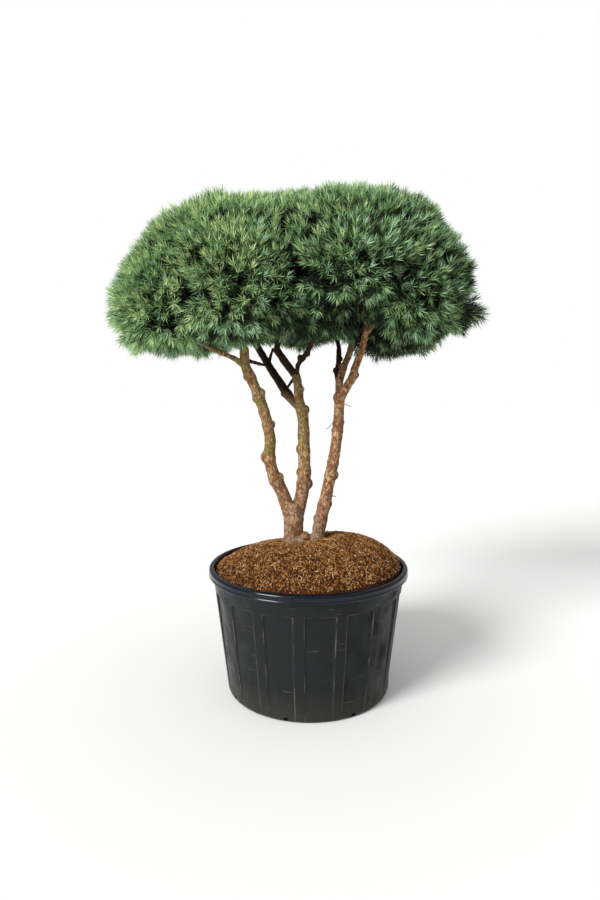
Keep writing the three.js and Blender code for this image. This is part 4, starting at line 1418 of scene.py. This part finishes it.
@dataclass(frozen=True)
class Spot:
    """A soft-edged round place on the crown where something is gained, or lost if the gain is below 0."""

    place: Place
    radius: float
    gain: float

    def gain_at(self, points: np.ndarray) -> np.ndarray:
        """What is gained at each point."""
        away = np.linalg.norm(points - np.array(self.place), axis=1) / self.radius
        return self.gain * np.exp(-away ** 2)


@dataclass
class Crown:
    """The masses of foliage: twigs that branch from the limbs, and needles on the last shoots.

    The hollows, openings and swells, and the spots of painted light and painted shade in the tints, are set
    to match one view from the front, and so is the painted light that the tints gain to the left
    (sun_by_side). They stay as they are from every side and in any light."""

    limbs: Mapping[str, Limb]
    masses: Sequence[Mass]
    bearers: Mapping[str, Limb]
    heart: Place = (-0.060, 0.030, 1.830)
    heartward: float = 0.02
    spray_area: float = 0.0065
    shoot_length: float = 0.105
    limb_clearance: float = 0.018
    blend: float = 4.5
    swell_most: float = 1.3
    needle_margin: float = 0.034
    needle_play: float = 0.007
    clump_size: float = 0.075
    clump_depth: float = 0.036
    gap_level: float = 0.2
    gap_top: float = 0.35
    layers: tuple[tuple[float, float], ...] = (
        (1.0, 0.0275), (0.89, 0.053), (0.71, 0.063), (0.48, 0.080))
    candidates: int = 4200
    splay: float = 0.4
    lift: float = 0.16
    lean_play: float = 0.2
    hollow_edge: tuple[float, float] = (0.45, 1.2)
    # dents in the outer layer alone, as x, y, z and radius
    hollows: tuple[Waypoint, ...] = (
        (-0.489, -0.478, 2.003, 0.050), (-0.487, -0.488, 1.952, 0.045), (-0.489, -0.498, 1.800, 0.055),
        (-0.306, -0.548, 1.865, 0.055), (-0.589, -0.448, 1.753, 0.050), (-0.251, -0.488, 1.659, 0.055),
        (0.013, -0.458, 2.147, 0.060), (0.000, -0.488, 2.063, 0.058), (-0.012, -0.510, 1.905, 0.070),
        (-0.020, -0.500, 1.975, 0.068), (0.196, -0.608, 1.913, 0.052), (0.392, -0.548, 1.913, 0.055),
        (0.363, -0.558, 1.828, 0.055), (0.144, -0.528, 1.724, 0.068), (0.521, -0.468, 1.755, 0.055),
        (0.168, -0.378, 1.651, 0.058), (-0.354, -0.508, 1.690, 0.045), (-0.137, -0.498, 1.756, 0.045),
        (0.165, -0.330, 1.725, 0.085), (0.190, -0.220, 1.715, 0.090),
    )
    # places that every layer leaves bare
    openings: tuple[Waypoint, ...] = (
        (0.262, -0.260, 1.700, 0.070), (0.262, -0.180, 1.720, 0.065), (0.700, -0.200, 1.826, 0.058),
        (0.700, -0.110, 1.826, 0.058), (0.700, -0.020, 1.826, 0.058), (0.700, 0.070, 1.826, 0.058),
        (0.765, -0.180, 1.832, 0.066), (0.770, -0.080, 1.832, 0.066), (0.765, 0.020, 1.832, 0.066),
        (0.830, -0.100, 1.840, 0.070),
    )
    # where the skin stands further out, or further in
    swells: tuple[Spot, ...] = (
        Spot((-0.860, -0.120, 1.680), 0.090, 0.035), Spot((0.525, -0.100, 2.245), 0.075, 0.050),
        Spot((0.765, -0.080, 1.960), 0.090, 0.030), Spot((0.740, -0.080, 1.710), 0.080, 0.010),
        Spot((0.255, -0.140, 2.340), 0.080, -0.045), Spot((0.440, -0.120, 2.310), 0.070, -0.035),
        Spot((-0.590, -0.060, 2.290), 0.120, -0.028), Spot((0.600, -0.080, 2.190), 0.080, 0.025),
        Spot((-0.870, -0.050, 1.850), 0.110, -0.014),
    )
    # where the tints are lighter or darker: spots of painted light and painted shade
    painted_light_and_shade_spots: tuple[Spot, ...] = (
        Spot((0.500, -0.400, 1.700), 0.180, 0.40), Spot((-0.060, -0.360, 1.680), 0.200, -0.28),
        Spot((-0.560, -0.380, 1.690), 0.220, 0.14), Spot((-0.370, -0.300, 2.240), 0.250, 0.13),
        Spot((0.170, -0.320, 1.720), 0.120, -0.50), Spot((0.000, -0.120, 1.630), 0.160, -0.15),
        Spot((-0.300, -0.480, 1.900), 0.200, 0.18), Spot((-0.760, -0.150, 1.930), 0.180, -0.14),
    )
    # how the tints paint light and shade over the crown: by height, by lean and by side
    sun_low: float = 1.62
    sun_high: float = 2.36
    sun_by_height: float = 0.1
    sun_by_lean: float = 0.22
    sun_by_side: float = -0.46
    sun_base: float = 0.39
    sun_play: float = 0.16
    stray_share: float = 0.22
    dim_share: float = 0.3
    bud_share: float = 0.4
    coat: NeedleCoat = field(default_factory=NeedleCoat)
    # the inner layers are broad blades in dark and near-black tints: painted shade that fills the crown's
    # inside
    inner_coat: NeedleCoat = field(default_factory=lambda: NeedleCoat(
        pairs=17, length=0.058, width=0.0105, clothed=0.11, wide_angle=78, narrow_angle=25))
    wax: PlainFinish = PlainFinish(roughness=0.45, specular=0.35)
    twig_bark: PlainFinish = PlainFinish(roughness=0.85, specular=0.2)

    def skin(self, mass: Mass, directions: np.ndarray) -> np.ndarray:
        """How far the crown reaches from a mass's centre, with the valleys between masses filled.

        Args:
            mass: The mass whose skin is wanted.
            directions: Directions from its centre.

        Returns:
            The distance in each direction.
        """
        centre, edge = np.array(mass.centre), mass.edge(directions)
        reach, live = edge.copy(), np.ones(len(edge), bool)
        for share in np.arange(1.02, self.swell_most, 0.02):
            points = centre + directions * edge * share
            live &= sum(np.exp(self.blend * (1 - other.gauge(points))) for other in self.masses) >= 1
            reach[live] = edge[live] * share
        return reach

    def far_from_limbs(self, points: np.ndarray) -> np.ndarray:
        """True for each point that keeps clear of every limb."""
        clear = np.ones(len(points), bool)
        for limb in self.limbs.values():
            centres, radii = limb.samples(0.03)
            gaps = np.linalg.norm(points[:, None] - centres[None], axis=2) - radii[None]
            clear &= gaps.min(1) > self.limb_clearance
        return clear

    def fits(self, mass: Mass, directions: np.ndarray, tips: np.ndarray, heartward: float) -> np.ndarray:
        """True for each tip that lies in the mass's space, clear of limbs and away from the heart."""
        within = mass.gauge(tips) <= np.min([other.gauge(tips) for other in self.masses], axis=0) + 1e-6
        outward = (directions * unit(tips - np.array(self.heart))).sum(1) > heartward
        return within & outward & self.far_from_limbs(tips)

    def spring(self, parents: np.ndarray, tips: np.ndarray, directions: np.ndarray,
               length: float, rings: int) -> np.ndarray:
        """Bows a twig to each tip from the point of the parents that lies best behind it.

        Args:
            parents: Points that twigs may spring from.
            tips: Where they end.
            directions: The way that each one points.
            length: How far behind its tip a twig would best spring.
            rings: Number of points on each twig.

        Returns:
            The twigs' points, by twig and ring.
        """
        behind = tips - directions * length
        gaps = np.linalg.norm(behind[:, None] - parents[None], axis=2)
        starts = parents[gaps.argmin(1)]
        return bowed(starts, tips - directions * length * 0.55, tips, rings)

    def tint_of(self, tips: np.ndarray, directions: np.ndarray, inner: np.ndarray,
                rng: np.random.Generator) -> np.ndarray:
        """Deals out a tint to each shoot as painted light and shade: pale high up and to the left, dark low
        down and to the right.

        Args:
            tips: The shoots' tips.
            directions: The way that each one points.
            inner: True for those inside the crown.
            rng: Source of random numbers.

        Returns:
            The number of each shoot's tint.
        """
        order = list(Tint)
        rise = self.sun_high - self.sun_low
        # painted light: the tints are lighter high up, facing up and to the left, and darker low down and to
        # the right
        sun = (self.sun_by_height * (tips[:, 2] - self.sun_low) / rise + self.sun_by_lean * directions[:, 2]
               + self.sun_by_side * tips[:, 0] + self.sun_base)
        sun += sum(painted_spot.gain_at(tips) for painted_spot in self.painted_light_and_shade_spots)
        sun = np.clip(sun + rng.normal(0, self.sun_play, len(tips)), 0, 1)
        ladder = np.array([order.index(t) for t in (
            Tint.DARK, Tint.DEEP, Tint.BLOOM, Tint.LEAF, Tint.LEAF, Tint.FRESH)])
        tints = ladder[np.minimum((sun * len(ladder)).astype(int), len(ladder) - 1)]
        mixed = rng.random(len(tips)) < self.stray_share
        stray = rng.choice([order.index(Tint.BLOOM), order.index(Tint.LEAF)], len(tips))
        tints = np.where(mixed, stray, tints)
        # painted shade: the shoots inside the crown get dark or near-black tints
        dark = rng.random(len(tips)) < self.dim_share
        dim = np.where(dark, order.index(Tint.DARK), order.index(Tint.INSIDE))
        return np.where(inner, dim, tints)

    def spread_shoots(self, depth: float, spacing: float, rng: np.random.Generator) -> dict[str, "Shoots"]:
        """Spreads shoots over the whole crown's skin, or over the same skin drawn in.

        Args:
            depth: Share of the way out from a mass's centre to its skin.
            spacing: Least distance between two tips.
            rng: Source of random numbers.

        Returns:
            The shoots of each mass.
        """
        found = []
        for number, mass in enumerate(self.masses):
            ways = even_directions(self.candidates, rng, 0.05)
            tips = np.array(mass.centre) + ways * self.skin(mass, ways) * depth
            slopes = sum(np.exp(self.blend * (1 - other.gauge(tips)))[:, None] * other.slope(tips)
                         for other in self.masses)
            lean = unit(unit(slopes) + ways * self.splay + UP * self.lift
                        + rng.normal(0, self.lean_play, ways.shape))
            held = self.fits(mass, ways, tips, self.heartward if depth == 1 else -1.0)
            for x, y, z, radius in self.hollows if depth == 1 else ():
                soft = radius * rng.uniform(*self.hollow_edge, len(tips))
                held &= np.linalg.norm(tips - (x, y, z), axis=1) > soft
            sink = rng.normal(self.needle_margin, self.needle_play, len(tips))
            if depth == 1:
                clump = np.array([noise.noise(Vector(tip) / self.clump_size) for tip in tips])
                sink += clump * self.clump_depth * (0.6 + np.maximum(-lean[:, 2], 0))
                sink -= sum(swell.gain_at(tips) for swell in self.swells)
                held &= (clump < self.gap_level) | (lean[:, 2] > self.gap_top)
            tips = tips - lean * sink[:, None]
            for x, y, z, radius in self.openings:
                held &= np.linalg.norm(tips - (x, y, z), axis=1) > radius
            found.append(np.hstack([tips[held], lean[held], np.full((held.sum(), 1), number)]))
        table = rng.permutation(np.concatenate(found))
        kept = np.zeros(len(table), bool)
        for row, tip in enumerate(table[:, :3]):
            kept[row] = not (((table[kept, :3] - tip) ** 2).sum(1) < spacing ** 2).any()
        table = table[kept]
        tints = self.tint_of(table[:, :3], table[:, 3:6], np.full(len(table), depth < 1), rng)
        return {
            mass.side: Shoots(table[:, :3], table[:, 3:6], tints).only(table[:, 6] == number)
            for number, mass in enumerate(self.masses)
        }

    def branch_out(self, mass: Mass, layers: Sequence["Shoots"], rng: np.random.Generator) -> list:
        """Grows the twigs of one mass from the end of the limb that bears it.

        Args:
            mass: The mass to grow.
            layers: Its shoots, on its skin and inside it.
            rng: Source of random numbers.

        Returns:
            The twigs, as (paths, radii, sides) of each order of branching.
        """
        bearer = self.bearers[mass.side]
        centre = np.array(mass.centre)
        foot, along = bearer.points[-1], bearer.end_direction()
        thick = float(bearer.radii[-1])
        stem = bowed((foot - along * 0.01)[None], (foot + along * 0.08)[None],
                     (foot * 0.2 + centre * 0.8)[None], 7)
        twigs = [(stem, np.linspace(thick, thick * 0.6, 7)[None], 7)]

        arm_ways = even_directions(round(mass.area / self.spray_area / 4), rng, 0.5)
        arm_tips = centre + arm_ways * mass.edge(arm_ways) * 0.6
        held = self.fits(mass, arm_ways, arm_tips, -0.35)
        arms = self.spring(stem[0], arm_tips[held], arm_ways[held], 0.3, 7)
        twigs.append((arms, np.linspace(thick * 0.55, 0.0036, 7)[None].repeat(len(arms), 0), 5))
        parents = np.concatenate([stem[0], arms.reshape(-1, 3)])

        spray_ways = even_directions(round(mass.area / self.spray_area), rng, 0.25)
        spray_tips = centre + spray_ways * (self.skin(mass, spray_ways) * 0.95 - self.shoot_length * 0.6)
        held = self.fits(mass, spray_ways, spray_tips, -0.1)
        sprays = self.spring(parents, spray_tips[held], spray_ways[held], 0.16, 6)
        twigs.append((sprays, np.linspace(0.0036, 0.0022, 6)[None].repeat(len(sprays), 0), 4))
        parents = np.concatenate([parents, sprays.reshape(-1, 3)])

        for layer in layers:
            paths = self.spring(parents, layer.tips, layer.directions, self.shoot_length, 4)
            twigs.append((paths, np.linspace(0.0022, 0.0013, 4)[None].repeat(len(paths), 0), 3))
        return twigs

    @staticmethod
    def bud(shoots: "Shoots") -> tuple[np.ndarray, np.ndarray]:
        """Makes the pointed winter bud at the tip of each shoot.

        Args:
            shoots: The shoots that have one.

        Returns:
            Vertices and triangles of the buds.
        """
        run = np.array([-0.001, 0.005, 0.012])[None, :, None]
        paths = shoots.tips[:, None] + shoots.directions[:, None] * run
        return swept(paths, np.tile([0.0022, 0.0030, 0.0007], (len(paths), 1)), 4)

    def build(self, rng: np.random.Generator) -> None:
        """Makes the twigs, buds and needles and puts them in place of the masses' CAD nodes."""
        tints = [self.wax.material(f"needles_{tint.name.lower()}", tint.value) for tint in Tint]
        spread = [self.spread_shoots(depth, spacing, rng) for depth, spacing in self.layers]
        wood, count = [], 0
        for mass in self.masses:
            layers = [shoots[mass.side] for shoots in spread]
            twigs = self.branch_out(mass, layers, rng)
            wood += [swept(paths, radii, sides) for paths, radii, sides in twigs]
            count += sum(len(layer.tips) for layer in layers)
            coats = [self.coat.grow(layers[0], rng)]
            coats += [self.inner_coat.grow(layer, rng) for layer in layers[1:]]
            points, triangles = stacked([coat[:2] for coat in coats])
            needles = mesh_from_arrays(f"needles_{mass.side}", points, triangles, tints,
                                       np.concatenate([coat[2] for coat in coats]))
            hand_over(needles, [mass.node])
        every_node = [mass.node for mass in self.masses]
        bark = self.twig_bark.material("twig_bark", "4A3A2C")
        hand_over(mesh_from_arrays("twigs", *stacked(wood), [bark]), every_node)
        resin = self.wax.material("bud_scales", "A49C68")
        buds = [
            self.bud(shoots.only(rng.random(len(shoots.tips)) < self.bud_share))
            for shoots in spread[0].values()]
        hand_over(mesh_from_arrays("buds", *stacked(buds), [resin]), every_node)
        log.info("shoots: %d", count)


@dataclass
class Studio:
    """A plain pale floor, soft lights and the camera where the photograph was taken."""

    camera_place: Place = (-0.04, -3.058, 1.458)
    lens: float = 25.31
    shift: float = -0.078
    floor_colour: str = "FAFAF9"
    backdrop: float = 1.0
    sky_low: float = 0.22
    sky_high: float = 0.75
    key_place: Place = (-3.9, -3.6, 3.9)
    key_strength: float = 3.55
    key_angle: float = 24.0

    def stand_camera(self) -> None:
        """Stands the level camera in front of the plant."""
        bpy.ops.object.camera_add(location=self.camera_place, rotation=(math.pi / 2, 0, 0))
        camera = bpy.context.object
        camera.data.lens = self.lens
        camera.data.sensor_width = 36.0
        camera.data.shift_y = self.shift
        bpy.context.scene.camera = camera

    def lay_floor(self) -> None:
        """Lays a round pale floor."""
        deselect()
        bpy.ops.mesh.primitive_circle_add(vertices=128, radius=30, fill_type="NGON", location=(0, 0, 0))
        floor = bpy.context.object
        floor.name = "floor"
        paint = PlainFinish(roughness=0.9, specular=0.2)
        floor.data.materials.append(paint.material("matt_floor_paint", self.floor_colour))

    def light(self) -> None:
        """Lights the plant with one broad key light from above the camera's left and a soft sky."""
        aim = Vector((0, 0, 1.2)) - Vector(self.key_place)
        bpy.ops.object.light_add(type="SUN", location=self.key_place,
                                 rotation=aim.to_track_quat("-Z", "Y").to_euler())
        key = bpy.context.object.data
        key.energy = self.key_strength
        key.angle = math.radians(self.key_angle)
        world = bpy.data.worlds.new("studio")
        bpy.context.scene.world = world
        world.use_nodes = True
        tree = world.node_tree
        direction = add_node(tree, "ShaderNodeTexCoord", out="Generated")
        height = add_node(tree, "ShaderNodeSeparateXYZ", inputs={0: direction}, out="Z")
        sky = add_node(tree, "ShaderNodeMapRange", inputs={
            "Value": height, "From Min": 0.0, "From Max": 0.9,
            "To Min": self.sky_low, "To Max": self.sky_high})
        seen = add_node(tree, "ShaderNodeLightPath", out="Is Camera Ray")
        strength = add_node(tree, "ShaderNodeMix", {"data_type": "FLOAT"}, {
            0: seen, 2: sky, 3: self.backdrop})
        background = tree.nodes["Background"]
        background.inputs["Color"].default_value = (1.0, 1.0, 1.0, 1.0)
        tree.links.new(strength, background.inputs["Strength"])
        bpy.context.scene.view_settings.view_transform = "Standard"

    def build(self) -> None:
        """Sets up the camera, the floor and the lights."""
        self.stand_camera()
        self.lay_floor()
        self.light()


def main() -> None:
    """Builds the scene piece by piece."""
    logging.basicConfig(level=logging.INFO, format="%(name)s: %(message)s")
    Studio().build()
    container = Container()
    container.build()
    dress_soil()
    Mulch(radius=container.inner_radius(MULCH_FOOT) - MULCH_FIT).build(np.random.default_rng(MULCH_SEED))
    limbs = grow_limbs()
    masses = grow_masses()
    bearers = {mass.side: mass.grow_branch(limbs) for mass in masses}
    shaded = ["bough_back", "bough_centre_left", "bough_centre_right", "bough_right_inner",
              "branch_back_left_top", "branch_middle_top"]
    Wood(limbs).build(shaded, {
        Exposure.SUNLIT: PineBark(),
        # the shaded copy of the bark is darkened high up with painted shade
        Exposure.SHADED: PineBark(name="pine_bark_shaded", painted_shade_bark="6A6058"),
    })
    Crown(limbs, masses, bearers).build(np.random.default_rng(CROWN_SEED))


if __name__ == "__main__":
    main()
